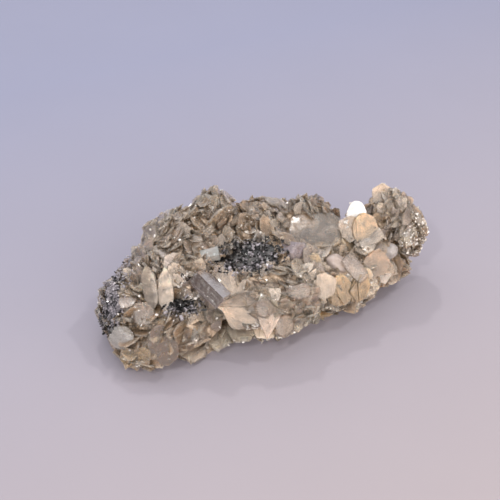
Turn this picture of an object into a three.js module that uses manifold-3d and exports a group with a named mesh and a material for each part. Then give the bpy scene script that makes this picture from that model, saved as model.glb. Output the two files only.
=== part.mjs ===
// Aquamarine on mica: a cluster of muscovite blades that carries aquamarine prisms, crusts of black schorl
// and a pale quartz crystal.
// Units are millimetres. +Z is up, +X runs along the specimen to its raised lobe, and the best face looks
// to -Y.
import * as THREE from "three";
import { mergeVertices } from "three/addons/utils/BufferGeometryUtils.js";
import Module from "manifold-3d";

const wasm = await Module();
wasm.setup();

// Driving dimensions

const GAP = 0.3; // clearance between a crystal and the pocket it grew in
const BLADE_SPACING = 10; // mean distance between the roots of neighbouring blades
const BLADE_LENGTH = [8, 13]; // shortest and longest blade
const BLADE_SHAPE = [0.72, 1]; // width as a share of the length
const BLADE_THICKNESS = [1, 2];
const BLADE_REACH = [-0.5, 2]; // how far the tip of a standing blade clears the outline of its lump
const BLADE_JITTER = 0.9; // how far a blade strays from the lie of its neighbours
const BLADE_SEED = 3;
const FEATURE_ROOM = 5; // no blade grows with its middle this near to a feature placed by hand
const CORE_INSET = 2; // the solid heart of a lump lies this far under its outline
const BOOK_ROOT = 2; // how far a book placed by hand reaches back behind its sheets
const LEDGE_HEIGHT = 9; // below this the blades lie flat, as ledges
const LOWEST_ROOT = 1.5; // no blade grows below this height
const BURIED_SHARE = 0.9; // a root this deep in another lump, as a share of its size, grows no blade
const BASE_THICKNESS = 3; // of the broken face that the specimen rests on
const GROUND_SIZE = 200; // of the block that trims the blades level with that face
const PRISM_BEVEL = 0.1; // of the edges at the ends of a prism, as a share of its width
const GRAIN_RADIUS = [1.3, 2.1]; // of a schorl grain at its waist
const GRAIN_REACH = [0.4, 0.75]; // from its waist to its tip, as a share of the depth of its crust
const GRAIN_SPREAD = 0.45; // from the middle of a crust to its outermost grains, as a share of its size
const GRAIN_TILT = 1.4; // widest lean from side to side, in radians
const SCHORL_SEED = 5;

// The rounded masses that the blades grow from: centre and half sizes.
const LUMPS = [
  { name: "left tip", at: [-38, 1, 10], half: [10, 12, 11] },
  { name: "left toe", at: [-36, -9, 6], half: [11, 10, 8] },
  { name: "left saddle", at: [-32, 5, 16], half: [9, 8, 8] },
  { name: "left foot", at: [-26, -7, 8], half: [16, 13, 11] },
  { name: "left shoulder", at: [-18, 3, 18], half: [20, 15, 14] },
  { name: "left ridge", at: [-18, 9, 25], half: [12, 9, 9] },
  { name: "left summit", at: [-7, 10, 27], half: [9, 8, 9] },
  { name: "middle", at: [2, -6, 12], half: [21, 20, 15] },
  { name: "top saddle", at: [5, 8, 21], half: [14, 10, 9] },
  { name: "right summit", at: [20, 6, 18], half: [13, 10, 9] },
  { name: "right flank", at: [24, -9, 10], half: [15, 15, 12] },
  { name: "neck", at: [37, -8, 15], half: [10, 9, 10] },
  { name: "lobe", at: [45, -6, 21], half: [9, 8, 11] },
  { name: "lobe side", at: [49, -8, 16], half: [8, 8, 9] },
  { name: "lobe foot", at: [40, -11, 9], half: [10, 8, 8] },
];

// The outline of the broken face underneath, inside the footprint of the lumps.
const BASE_OUTLINE = [
  [-42, -3], [-40, -11], [-36, -14], [-32, -13], [-23, -17], [-18, -15], [-11, -13], [-4, -16], [0, -19],
  [7, -17], [20, -17], [25, -15], [33, -15], [39, -12], [36, -5], [25, 2], [8, 7], [-12, 5], [-30, 4],
];

// The books of mica that stand out on the best face: middle, the way they face and grow, and their size.
const BOOKS = [
  { name: "great book", at: [20.4, -2.2, 21.6], face: [-1, -2, 9], grow: [4, 9, 1], size: [17, 14, 3.5] },
  {
    name: "bright flake", at: [33.4, -5.2, 25.1], face: [-3, -7, 6], grow: [9, -4, 0],
    size: [10.5, 6.5, 0.9], root: 0,
  },
  { name: "notch shoulder", at: [30, -7, 23], face: [-3, -7, 6], grow: [3, 6, 8], size: [8, 9.5, 2] },
  { name: "lobe crown", at: [42.8, -4, 29.5], face: [-3, -7, 6], grow: [3, 6, 8], size: [8, 9, 1.6] },
  { name: "notch plate", at: [33.5, -10, 23.9], face: [-2, -8, 5], grow: [2, 6, 8], size: [8, 10, 1.4] },
  { name: "honey plate", at: [-35, -17.1, 10], face: [-2, -8, 5], grow: [0, 5, 8], size: [9, 12, 1.6] },
  {
    name: "top fan", at: [-12.4, -17.4, 18.5], face: [-2, -6, 8], grow: [-9, 3, -2],
    size: [5.5, 13, 1.2],
  },
  { name: "mid fan", at: [-13, -19, 15.7], face: [-3, -7, 6], grow: [-8, 6, 2], size: [6, 13, 1] },
  { name: "low fan", at: [-14.4, -18, 13.6], face: [-3, -8, 4], grow: [-4, 7, 6], size: [5, 9, 1.2] },
  { name: "round plate", at: [-6, -22.1, 17.4], face: [-1, -7, 6], grow: [3, 6, 8], size: [5.5, 6, 2.4] },
  {
    name: "round plate seat", at: [-5.6, -24.2, 13.6], face: [-1, -8, 5], grow: [3, 5, 8],
    size: [9, 10, 1.5],
  },
  { name: "twin plate", at: [5, -22.1, 19.9], face: [-3, -7, 6], grow: [3, 6, 8], size: [7.5, 5.5, 2] },
  { name: "low plate", at: [-1.1, -25.4, 11.2], face: [0, -8, 5], grow: [4, 5, 8], size: [6, 7, 1.6] },
  { name: "flank plate", at: [14.3, -20.5, 16.9], face: [-3, -8, 6], grow: [3, 6, 8], size: [8, 9, 1.6] },
  { name: "amber plate", at: [19, -21.5, 14], face: [0, -8, 5], grow: [3, 5, 8], size: [8.5, 10, 1.8] },
  {
    name: "amber foot", at: [25.3, -22.6, 13.6], face: [1, -8, 4], grow: [7, 3, 7],
    size: [7.5, 11, 1.8],
  },
  {
    name: "long plate", at: [25.4, -19, 18.4], face: [-2, -6, 6], grow: [4, -7, -6],
    size: [5, 9.5, 1.6],
  },
  { name: "lobe plate", at: [33.2, -17.7, 16.1], face: [-2, -8, 5], grow: [5, 5, 7], size: [9, 9, 1.4] },
  {
    name: "tall blade", at: [-33.5, -4.8, 21.9], face: [-5, -6, 5], grow: [1, 6, 8],
    size: [4.8, 14, 1.8],
  },
  { name: "tall pair", at: [-30, -7.8, 21.6], face: [-2, -8, 5], grow: [2, 5, 8], size: [4.8, 15, 1.8] },
  {
    name: "blunt plate", at: [-37.2, -8.5, 15.9], face: [-2, -7, 7], grow: [2, 7, 7],
    size: [6.5, 7, 1.8],
  },
  {
    name: "pale tip plate", at: [-44.8, -9.2, 10.5], face: [-6, -6, 4], grow: [6, -6, 2],
    size: [7, 8, 1.4],
  },
  { name: "shield", at: [-12.5, -12.1, 21.4], face: [-2, -6, 6], grow: [2, -7, -7], size: [6, 11, 1.6] },
  {
    name: "first ledge", at: [-25.5, -15.5, 3.6], face: [-1, -3, 9], grow: [-3, -9, 0],
    size: [9, 10, 1.6],
  },
  { name: "second ledge", at: [-18, -15, 5.2], face: [1, -3, 9], grow: [-2, -9, 1], size: [9, 10, 1.4] },
  { name: "third ledge", at: [-11, -16.8, 6.4], face: [0, -3, 9], grow: [2, -9, 1], size: [9, 10, 1.6] },
  { name: "fourth ledge", at: [-4, -19, 6.6], face: [1, -4, 8], grow: [1, -9, 1], size: [9, 9, 1.4] },
];

// The clear crystals: the middle of each prism, the way it points, and its size across corners and along.
const AQUAMARINES = [
  { name: "aquamarine_main", at: [-18.4, -12, 20.6], axis: [4, -9, -4], across: 8.4, length: 11.5 },
  { name: "aquamarine_teal", at: [-15.6, -3.6, 26.2], axis: [8, -3, 2], across: 4.8, length: 8 },
  { name: "aquamarine_right", at: [9.4, -7.8, 21.8], axis: [3, -8, 4], across: 7.6, length: 9 },
  { name: "aquamarine_lobe", at: [40.2, -13.8, 15.8], axis: [-1, -8, 6], across: 6.2, length: 8 },
];
const QUARTZ = { name: "quartz_crystal", at: [22, -14.5, 18], axis: [6, -7, -4], across: 5.6, length: 8 };

// The schorl crusts: the middle, the long way and the way out of each patch, its size and its grains.
const SCHORL = [
  {
    name: "schorl_centre", at: [-2.5, -5.5, 22], along: [9, -3, 2], face: [-3, -6, 8],
    size: [18, 9, 6], grains: 17,
  },
  {
    name: "schorl_left_end", at: [-43.5, 0.5, 13.5], along: [-3, -4, -8], face: [-9, -2, 4],
    size: [15, 9, 5], grains: 14,
  },
  {
    name: "schorl_seam", at: [-25, -9.5, 15], along: [9, -4, 1], face: [-3, -7, 6],
    size: [10, 4.5, 5], grains: 8,
  },
];

const PRISMS = [...AQUAMARINES, QUARTZ];
const FEATURES = [...BOOKS, ...PRISMS, ...SCHORL];

// Helpers

const vector = (numbers) => new THREE.Vector3(...numbers);
const between = (random, [low, high]) => low + (high - low) * random();

// A repeatable source of numbers from 0 to 1.
function randomSource(seed) {
  let state = seed;
  return () => {
    state = (state + 0x6d2b79f5) | 0;
    let t = Math.imul(state ^ (state >>> 15), 1 | state);
    t = (t + Math.imul(t ^ (t >>> 7), 61 | t)) ^ t;
    return ((t ^ (t >>> 14)) >>> 0) / 4294967296;
  };
}

// A frame at a point whose Z faces one way and whose Y follows another as nearly as it can.
function frameAt(at, face, grow) {
  const z = face.clone().normalize();
  const x = new THREE.Vector3().crossVectors(grow, z).normalize();
  const y = new THREE.Vector3().crossVectors(z, x);
  return new THREE.Matrix4().makeBasis(x, y, z).setPosition(at);
}

// A closed three.js geometry as a solid that can be joined and cut.
function solidFrom(geometry) {
  const bare = new THREE.BufferGeometry();
  bare.setAttribute("position", geometry.getAttribute("position"));
  if (geometry.index) bare.setIndex(geometry.index);
  const merged = mergeVertices(bare, 1e-4);
  const triVerts = new Uint32Array(merged.index.array);
  const vertProperties = merged.getAttribute("position").array;
  return new wasm.Manifold(new wasm.Mesh({ numProp: 3, vertProperties, triVerts }));
}

function geometryFrom(solid) {
  const mesh = solid.getMesh();
  const geometry = new THREE.BufferGeometry();
  geometry.setAttribute("position", new THREE.BufferAttribute(mesh.vertProperties, 3));
  geometry.setIndex(new THREE.BufferAttribute(mesh.triVerts, 1));
  geometry.computeVertexNormals();
  return geometry;
}

const joined = (solids) => solids.reduce((whole, solid) => whole.add(solid));

const cutBy = (solid, cutters) => cutters.reduce((rest, cutter) => rest.subtract(cutter), solid);

// The outer body alone, so that a hollow sealed in between blades is filled.
const outerBody = (solid) => solid.decompose().reduce((a, b) => (a.volume() > b.volume() ? a : b));

// Mica

function coreSolid({ at, half }) {
  const geometry = new THREE.IcosahedronGeometry(1, 0);
  geometry.scale(...half.map((size) => size - CORE_INSET));
  geometry.translate(...at);
  return solidFrom(geometry);
}

function baseSolid() {
  const outline = new THREE.Shape(BASE_OUTLINE.map(([x, y]) => new THREE.Vector2(x, y)));
  return solidFrom(new THREE.ExtrudeGeometry(outline, { depth: BASE_THICKNESS, bevelEnabled: false }));
}

// A six-sided blade of mica, given its frame and its width, length and thickness.
function bladeSolid(frame, size) {
  const geometry = new THREE.CylinderGeometry(0.5, 0.5, 1, 6);
  geometry.rotateX(Math.PI / 2);
  geometry.scale(...size);
  geometry.applyMatrix4(frame);
  return solidFrom(geometry);
}

// How deep a point lies in a lump: below 1 is inside.
function depthIn({ at, half }, point) {
  return Math.hypot(...at.map((centre, axis) => (point.getComponent(axis) - centre) / half[axis]));
}

// The way that blades near a point face: it drifts slowly, so that neighbours lie in sheaves.
function sheafNormal({ x, y, z }, random) {
  const lie = new THREE.Vector3(
    Math.sin(y / 9 + 1.3 * Math.sin(z / 11)),
    Math.cos(z / 8 + x / 17),
    Math.sin(x / 10 + y / 13),
  );
  const stray = new THREE.Vector3(random() - 0.5, random() - 0.5, random() - 0.5);
  const ledge = THREE.MathUtils.clamp(1 - z / LEDGE_HEIGHT, 0, 1);
  lie.addScaledVector(stray, BLADE_JITTER).normalize();
  return lie.lerp(new THREE.Vector3(0, -0.3, 1), ledge).normalize();
}

// The blade that grows from a root on a lump. Its tip clears the lump by its reach, and one that lies flat
// rests on the core.
function grownBlade(root, outward, random) {
  const length = between(random, BLADE_LENGTH);
  const width = length * between(random, BLADE_SHAPE);
  const thickness = between(random, BLADE_THICKNESS);
  const reach = between(random, BLADE_REACH);
  const face = sheafNormal(root, random);
  const grow = outward.clone().addScaledVector(face, -outward.dot(face));
  if (grow.lengthSq() < 0.01) grow.crossVectors(face, new THREE.Vector3(1, 0, 0));
  grow.normalize();
  const stand = grow.dot(outward);
  const rise = THREE.MathUtils.lerp(0.4 * thickness - CORE_INSET, reach, stand) - (length / 2) * stand;
  const middle = root.clone().addScaledVector(outward, rise);
  return { middle, frame: frameAt(middle, face, grow), size: [width, length, thickness] };
}

// Whether a feature placed by hand takes the room of a blade.
const isTaken = (point) => FEATURES.some(({ at }) => point.distanceTo(vector(at)) < FEATURE_ROOM);

// Blades with roots spread evenly over a lump, apart from those that are buried, near the ground or in the
// way of a feature.
function scatteredBlades(lump, random) {
  const [a, b, c] = lump.half;
  const power = 1.6; // of the usual estimate of an ellipsoid's area
  const mean = ((a * b) ** power + (a * c) ** power + (b * c) ** power) / 3;
  const count = Math.round((4 * Math.PI * mean ** (1 / power)) / BLADE_SPACING ** 2);
  const goldenAngle = Math.PI * (3 - Math.sqrt(5));
  const blades = [];
  for (let i = 0; i < count; i++) {
    const height = 1 - (2 * (i + 0.5)) / count;
    const ring = Math.sqrt(1 - height * height);
    const turn = i * goldenAngle;
    const unit = new THREE.Vector3(ring * Math.cos(turn), ring * Math.sin(turn), height);
    const root = unit.clone().multiply(vector(lump.half)).add(vector(lump.at));
    const outward = unit.divide(vector(lump.half)).normalize();
    const blade = grownBlade(root, outward, random);
    const buried = LUMPS.some((other) => other !== lump && depthIn(other, root) < BURIED_SHARE);
    const hasRoom = !buried && !isTaken(blade.middle) && root.z > LOWEST_ROOT;
    if (hasRoom) blades.push(bladeSolid(blade.frame, blade.size));
  }
  return blades;
}

// A book of mica, which reaches back by its root into the lump that it grew on.
function bookSolid({ at, face, grow, size: [width, length, thickness], root = BOOK_ROOT }) {
  const frame = frameAt(vector(at), vector(face), vector(grow));
  frame.multiply(new THREE.Matrix4().makeTranslation(0, 0, -root / 2));
  return bladeSolid(frame, [width, length, thickness + root]);
}

function matrixSolid(pockets) {
  const random = randomSource(BLADE_SEED);
  const blades = LUMPS.flatMap((lump) => scatteredBlades(lump, random));
  const grown = joined([baseSolid(), ...LUMPS.map(coreSolid), ...blades, ...BOOKS.map(bookSolid)]);
  const ground = new THREE.BoxGeometry(GROUND_SIZE, GROUND_SIZE, GROUND_SIZE);
  ground.translate(0, 0, -GROUND_SIZE / 2);
  return outerBody(cutBy(grown, [solidFrom(ground), ...pockets]));
}

// Clear crystals

// A six-sided prism about its own middle, bevelled at both ends. A margin makes the pocket that it fits.
function prismSolid({ at, axis, across, length }, margin = 0) {
  const radius = across / 2 + margin;
  const half = length / 2 + margin;
  const bevel = PRISM_BEVEL * across;
  const profile = [
    [0, -half], [radius - bevel, -half], [radius, bevel - half],
    [radius, half - bevel], [radius - bevel, half], [0, half],
  ];
  const geometry = new THREE.LatheGeometry(profile.map(([r, y]) => new THREE.Vector2(r, y)), 6);
  geometry.rotateX(Math.PI / 2);
  geometry.applyMatrix4(frameAt(vector(at), vector(axis), new THREE.Vector3(0, 0, 1)));
  return solidFrom(geometry);
}

// Schorl

// The frame of a crust: X runs the long way of its patch and Z points out of it.
function patchFrame({ at, along, face }) {
  return frameAt(vector(at), vector(face), vector(along).cross(vector(face)));
}

// The rounded bowl that a crust grew in. A margin makes it wider all round.
function bowlSolid(crust, margin) {
  const [length, width, depth] = crust.size;
  const geometry = new THREE.IcosahedronGeometry(1, 1);
  geometry.scale(length / 2 + margin, width / 2 + margin, depth + margin);
  geometry.applyMatrix4(patchFrame(crust));
  return solidFrom(geometry);
}

// A patch of pointed black grains on a root that fills the lower half of its bowl.
function crustSolid(crust, random) {
  const [length, width, depth] = crust.size;
  const patch = patchFrame(crust);
  const bowl = bowlSolid(crust, 0);
  const mouth = new THREE.BoxGeometry(2 * length, 2 * width, 2 * depth);
  mouth.translate(0, 0, depth);
  mouth.applyMatrix4(patch);
  const solids = [bowl.subtract(solidFrom(mouth))];
  for (let i = 0; i < crust.grains; i++) {
    const radius = between(random, GRAIN_RADIUS);
    const reach = between(random, GRAIN_REACH) * depth;
    const turn = 2 * Math.PI * random();
    const out = GRAIN_SPREAD * Math.sqrt(random());
    const grain = new THREE.OctahedronGeometry(1, 0);
    grain.scale(radius, radius, reach);
    grain.rotateX(GRAIN_TILT * (random() - 0.5));
    grain.rotateY(GRAIN_TILT * (random() - 0.5));
    grain.translate(length * out * Math.cos(turn), width * out * Math.sin(turn), 0);
    grain.applyMatrix4(patch);
    solids.push(solidFrom(grain));
  }
  return joined(solids).intersect(bowl);
}

// The specimen

const MATERIALS = {
  mica: new THREE.MeshStandardMaterial({ color: 0xb9ab97, roughness: 0.4, metalness: 0 }),
  aquamarine: new THREE.MeshStandardMaterial({ color: 0xb4c3c8, roughness: 0.08, metalness: 0 }),
  quartz: new THREE.MeshStandardMaterial({ color: 0xd9d3d2, roughness: 0.25, metalness: 0 }),
  schorl: new THREE.MeshStandardMaterial({ color: 0x26272b, roughness: 0.3, metalness: 0 }),
};

const specimen = new THREE.Group();

function addPiece(name, solid, material) {
  const mesh = new THREE.Mesh(geometryFrom(solid), material);
  mesh.name = name;
  specimen.add(mesh);
}

const sockets = PRISMS.map((prism) => prismSolid(prism, GAP));
const bowls = SCHORL.map((crust) => bowlSolid(crust, GAP));

addPiece("mica_matrix", matrixSolid([...sockets, ...bowls]), MATERIALS.mica);
AQUAMARINES.forEach((prism) => addPiece(prism.name, prismSolid(prism), MATERIALS.aquamarine));
addPiece(QUARTZ.name, prismSolid(QUARTZ), MATERIALS.quartz);
const schorlRandom = randomSource(SCHORL_SEED);
SCHORL.forEach((crust) => {
  const whole = crustSolid(crust, schorlRandom);
  addPiece(crust.name, outerBody(cutBy(whole, sockets)), MATERIALS.schorl);
});

// The origin is under the middle of the specimen, on the face that it rests on.
const box = new THREE.Box3().setFromObject(specimen);
const middle = box.getCenter(new THREE.Vector3());
specimen.children.forEach((mesh) => mesh.position.set(-middle.x, -middle.y, -box.min.z));

export default specimen;
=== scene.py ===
"""Looks of an aquamarine on mica specimen: sheets of mica, clear prisms, a white crystal and black crusts.

Lengths are millimetres in the specimen's growing frame, the one its solids are placed in. They become metres
in the part's own frame when a mesh is made.
"""
import logging
import math
from collections.abc import Callable
from dataclasses import dataclass, field, replace
from enum import Enum

import bmesh
import bpy
import numpy as np
from mathutils import Matrix, Vector, noise
from mathutils.bvhtree import BVHTree


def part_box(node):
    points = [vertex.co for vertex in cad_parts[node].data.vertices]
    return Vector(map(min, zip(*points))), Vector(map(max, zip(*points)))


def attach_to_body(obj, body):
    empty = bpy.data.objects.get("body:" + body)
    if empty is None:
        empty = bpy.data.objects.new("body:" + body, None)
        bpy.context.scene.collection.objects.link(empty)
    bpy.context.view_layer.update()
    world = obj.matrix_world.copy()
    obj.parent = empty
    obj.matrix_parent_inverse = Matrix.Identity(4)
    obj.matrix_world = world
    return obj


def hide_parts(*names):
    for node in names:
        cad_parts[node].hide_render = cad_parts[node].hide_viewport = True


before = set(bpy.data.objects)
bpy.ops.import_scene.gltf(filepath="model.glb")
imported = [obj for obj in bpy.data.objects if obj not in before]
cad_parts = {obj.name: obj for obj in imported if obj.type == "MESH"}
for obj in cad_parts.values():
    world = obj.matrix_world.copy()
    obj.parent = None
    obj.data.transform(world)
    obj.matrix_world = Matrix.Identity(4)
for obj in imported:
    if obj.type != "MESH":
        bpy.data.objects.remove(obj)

LOG = logging.getLogger("specimen")
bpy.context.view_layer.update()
MM = 0.001
BODY = "root"
FULL_TURN = 2 * math.pi
SIXTH_TURN = math.pi / 3

WHOLE = (0.0, 1.0)

# The angle past which an edge is sharp.
SHARP_ANGLE = math.radians(38)

# How much lighter the tip of a sheet is than its root: painted light towards the tip and painted shade at the
# root, where the sheets crowd.
TIP_PAINTED_LIGHT = 0.45

# How far apart the patterns of two copies lie.
PATTERN_STEP = (37.0, 91.0, 53.0)

# The height that small pieces keep above the floor.
FLOOR_GAP = 0.1

# How deep in a lump hollows begin, and the depth over which their painted shade and brown dirt deepen.
HOLLOW_TOP = 0.98
HOLLOW_SPAN = 0.22

# Where most values of cloudy noise lie.
NOISE_SPAN = (0.3, 0.7)

Point = tuple[float, float, float]
Colour = tuple[float, float, float]
Span = tuple[float, float]
Array = np.ndarray
Chance = np.random.Generator
Mesh = bmesh.types.BMesh
Vertex = bmesh.types.BMVert
Node = bpy.types.Node
Socket = bpy.types.NodeSocket
NodeTree = bpy.types.NodeTree
Material = bpy.types.Material
Piece = bpy.types.Object
Spot = tuple[Vector, Vector, int, Array]
Inputs = dict[str | int, object]


# Tones of the mica, as display colours

class Tone(Enum):
    """The colours that single sheets of mica take."""

    WHITE = (0.98, 0.96, 0.94)
    # Cream serves partly as painted light, on the shaded low front and at the low right end.
    CREAM = (0.99, 0.95, 0.89)
    PALE = (0.96, 0.91, 0.85)
    TAN = (0.93, 0.86, 0.78)
    ROSE = (0.95, 0.87, 0.80)
    GREY = (0.93, 0.88, 0.84)
    HONEY = (0.60, 0.40, 0.16)
    AMBER = (0.95, 0.86, 0.73)
    BROWN = (0.87, 0.77, 0.66)


class Stock(Enum):
    """The families of sheet shapes that the mica is made of."""

    BOOK = "book"
    FLAKE = "flake"
    CRUMB = "crumb"
    NEEDLE = "needle"


class Form(Enum):
    """How a book shows: in glassy, clear or pearly white sheets, or as one thick clear plate."""

    SHEETS = "sheets"
    CLEAR = "clear"
    PEARL = "pearl"
    PLATE = "plate"


class Outline(Enum):
    """The outlines that sheets of mica have."""

    HEXAGON = "hexagon"
    ROUND = "round"
    LANCE = "lance"
    LOBED = "lobed"
    SLAB = "slab"
    LATH = "lath"


# How many shapes of each family there are.
STOCK_COUNTS = {Stock.BOOK: 24, Stock.FLAKE: 40, Stock.CRUMB: 16, Stock.NEEDLE: 14}

# How round some outlines are, from 0 for straight sides to 1, and how round the others are.
ROUND_SHARES = {Outline.HEXAGON: 0.1, Outline.LATH: 0.4}
ROUND_SHARE = 0.8

# The outlines that flakes have, and how common each is.
FLAKE_OUTLINES = (Outline.HEXAGON, Outline.ROUND, Outline.LANCE)
FLAKE_SHARES = (0.8, 0.1, 0.1)

# The tones of sheets outside the zones, in the order that they drift through.
COMMON_TONES = (Tone.BROWN, Tone.TAN, Tone.TAN, Tone.ROSE, Tone.PALE, Tone.PALE, Tone.GREY)


def linear(colour: Colour) -> Array:
    """Turns a display colour into the linear one that shaders use."""
    shown = np.array(colour)
    return np.where(shown <= 0.04045, shown / 12.92, ((shown + 0.055) / 1.055) ** 2.4)


def rgba(colour: Colour) -> tuple[float, float, float, float]:
    """Turns a display colour into a linear one with full alpha."""
    red, green, blue = (float(channel) for channel in linear(colour))
    return red, green, blue, 1.0


def unit(vector: Point | Array) -> Array:
    """Gives a vector's direction."""
    numbers = np.array(vector, dtype=float)
    return numbers / np.linalg.norm(numbers)


def turned(face: Point | Array, grow: Point | Array) -> Array:
    """Makes the turn of a piece from the way it faces and grows.

    Args:
        face: The way its Z goes.
        grow: The way its Y goes, as nearly as it can.

    Returns:
        A 3 by 3 matrix whose columns are the piece's X, Y and Z.
    """
    z = unit(face)
    x = unit(np.cross(grow, z))
    return np.column_stack((x, np.cross(z, x), z))


def blend(span: Span, share: float) -> float:
    """Gives the number that lies a share of the way through a span."""
    low, high = span
    return low + (high - low) * share


def sheet_size(length: float, width: Span, thickness: Span, rng: Chance) -> Array:
    """Draws a sheet's width, as a share of its length, and its thickness, and gives its size."""
    across = length * rng.uniform(*width)
    return np.array((across, length, rng.uniform(*thickness)))


def cloud(x: float, y: float, layer: float, scale: float) -> float:
    """Gives smooth noise at a place, in a layer of its own."""
    return noise.noise(Vector((x, y, layer)) * scale)


def skewed(span: Span, power: float, rng: Chance) -> float:
    """Draws a number within limits, more often a low one the higher the power is."""
    return blend(span, rng.random() ** power)


# What grew where

@dataclass(frozen=True)
class Lump:
    """A rounded mass that blades grow from."""

    name: str
    at: Point
    half: Point

    def depth(self, points: Array) -> Array:
        """Gives how deep points lie in the lump: below 1 is inside."""
        return np.linalg.norm((points - np.array(self.at)) / np.array(self.half), axis=-1)

    def area(self) -> float:
        """Gives the usual estimate of an ellipsoid's area.

        Returns:
            The area.
        """
        a, b, c = self.half
        power = 1.6
        mean = ((a * b) ** power + (a * c) ** power + (b * c) ** power) / 3
        return 4 * math.pi * mean ** (1 / power)

    def spot(self, way: Array) -> tuple[Array, Array]:
        """Gives the point of the outline that lies a given way, and the way out of the lump there."""
        half = np.array(self.half, dtype=float)
        return way * half + np.array(self.at, dtype=float), unit(way / half)


@dataclass(frozen=True)
class Book:
    """A stack of mica sheets that stands out on the best face."""

    name: str
    at: Point
    face: Point
    grow: Point
    size: Point
    tone: Tone
    outline: Outline = Outline.HEXAGON
    form: Form = Form.SHEETS
    is_covered: bool = False


@dataclass(frozen=True)
class Prism:
    """Where a six-sided crystal sits, the way it points and its size across corners and along."""

    name: str
    at: Point
    axis: Point
    across: float
    length: float


@dataclass(frozen=True)
class Patch:
    """Where a black crust grew: its middle, its long way, the way out of it and its size."""

    name: str
    at: Point
    along: Point
    face: Point
    size: Point

    def turn(self) -> Array:
        """Gives its turn, with X along it and Z out of it."""
        return turned(self.face, np.cross(self.along, self.face))

    def local(self, at: Array | Vector) -> Array:
        """Gives how far along it, across it and out of it a point lies."""
        return (np.array(at) - np.array(self.at)) @ self.turn()

    def inside(self, x: float, y: float) -> float:
        """Gives 1 for a place at its middle, 0 at its rim and less outside."""
        length, width, _ = self.size
        return 1 - (2 * x / length) ** 2 - (2 * y / width) ** 2


@dataclass(frozen=True)
class Zone:
    """A part of the cluster where one tone of mica is common."""

    at: Point
    radius: float
    tone: Tone
    share: float


LUMPS = (
    Lump("left tip", (-38, 1, 10), (10, 12, 11)),
    Lump("left toe", (-36, -9, 6), (11, 10, 8)),
    Lump("left saddle", (-32, 5, 16), (9, 8, 8)),
    Lump("left foot", (-26, -7, 8), (16, 13, 11)),
    Lump("left shoulder", (-18, 3, 18), (20, 15, 14)),
    Lump("left ridge", (-18, 9, 25), (12, 9, 9)),
    Lump("left summit", (-7, 10, 27), (9, 8, 9)),
    Lump("middle", (2, -6, 12), (21, 20, 15)),
    Lump("top saddle", (5, 8, 21), (14, 10, 9)),
    Lump("right summit", (20, 6, 18), (13, 10, 9)),
    Lump("right flank", (24, -9, 10), (15, 15, 12)),
    Lump("neck", (37, -8, 15), (10, 9, 10)),
    Lump("lobe", (45, -6, 21), (9, 8, 11)),
    Lump("lobe side", (49, -8, 16), (8, 8, 9)),
    Lump("lobe foot", (40, -11, 9), (10, 8, 8)),
)

BASE_OUTLINE = (
    (-42, -3), (-40, -11), (-36, -14), (-32, -13), (-23, -17), (-18, -15), (-11, -13), (-4, -16), (0, -19),
    (7, -17), (20, -17), (25, -15), (33, -15), (39, -12), (36, -5), (25, 2), (8, 7), (-12, 5), (-30, 4),
)

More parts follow.
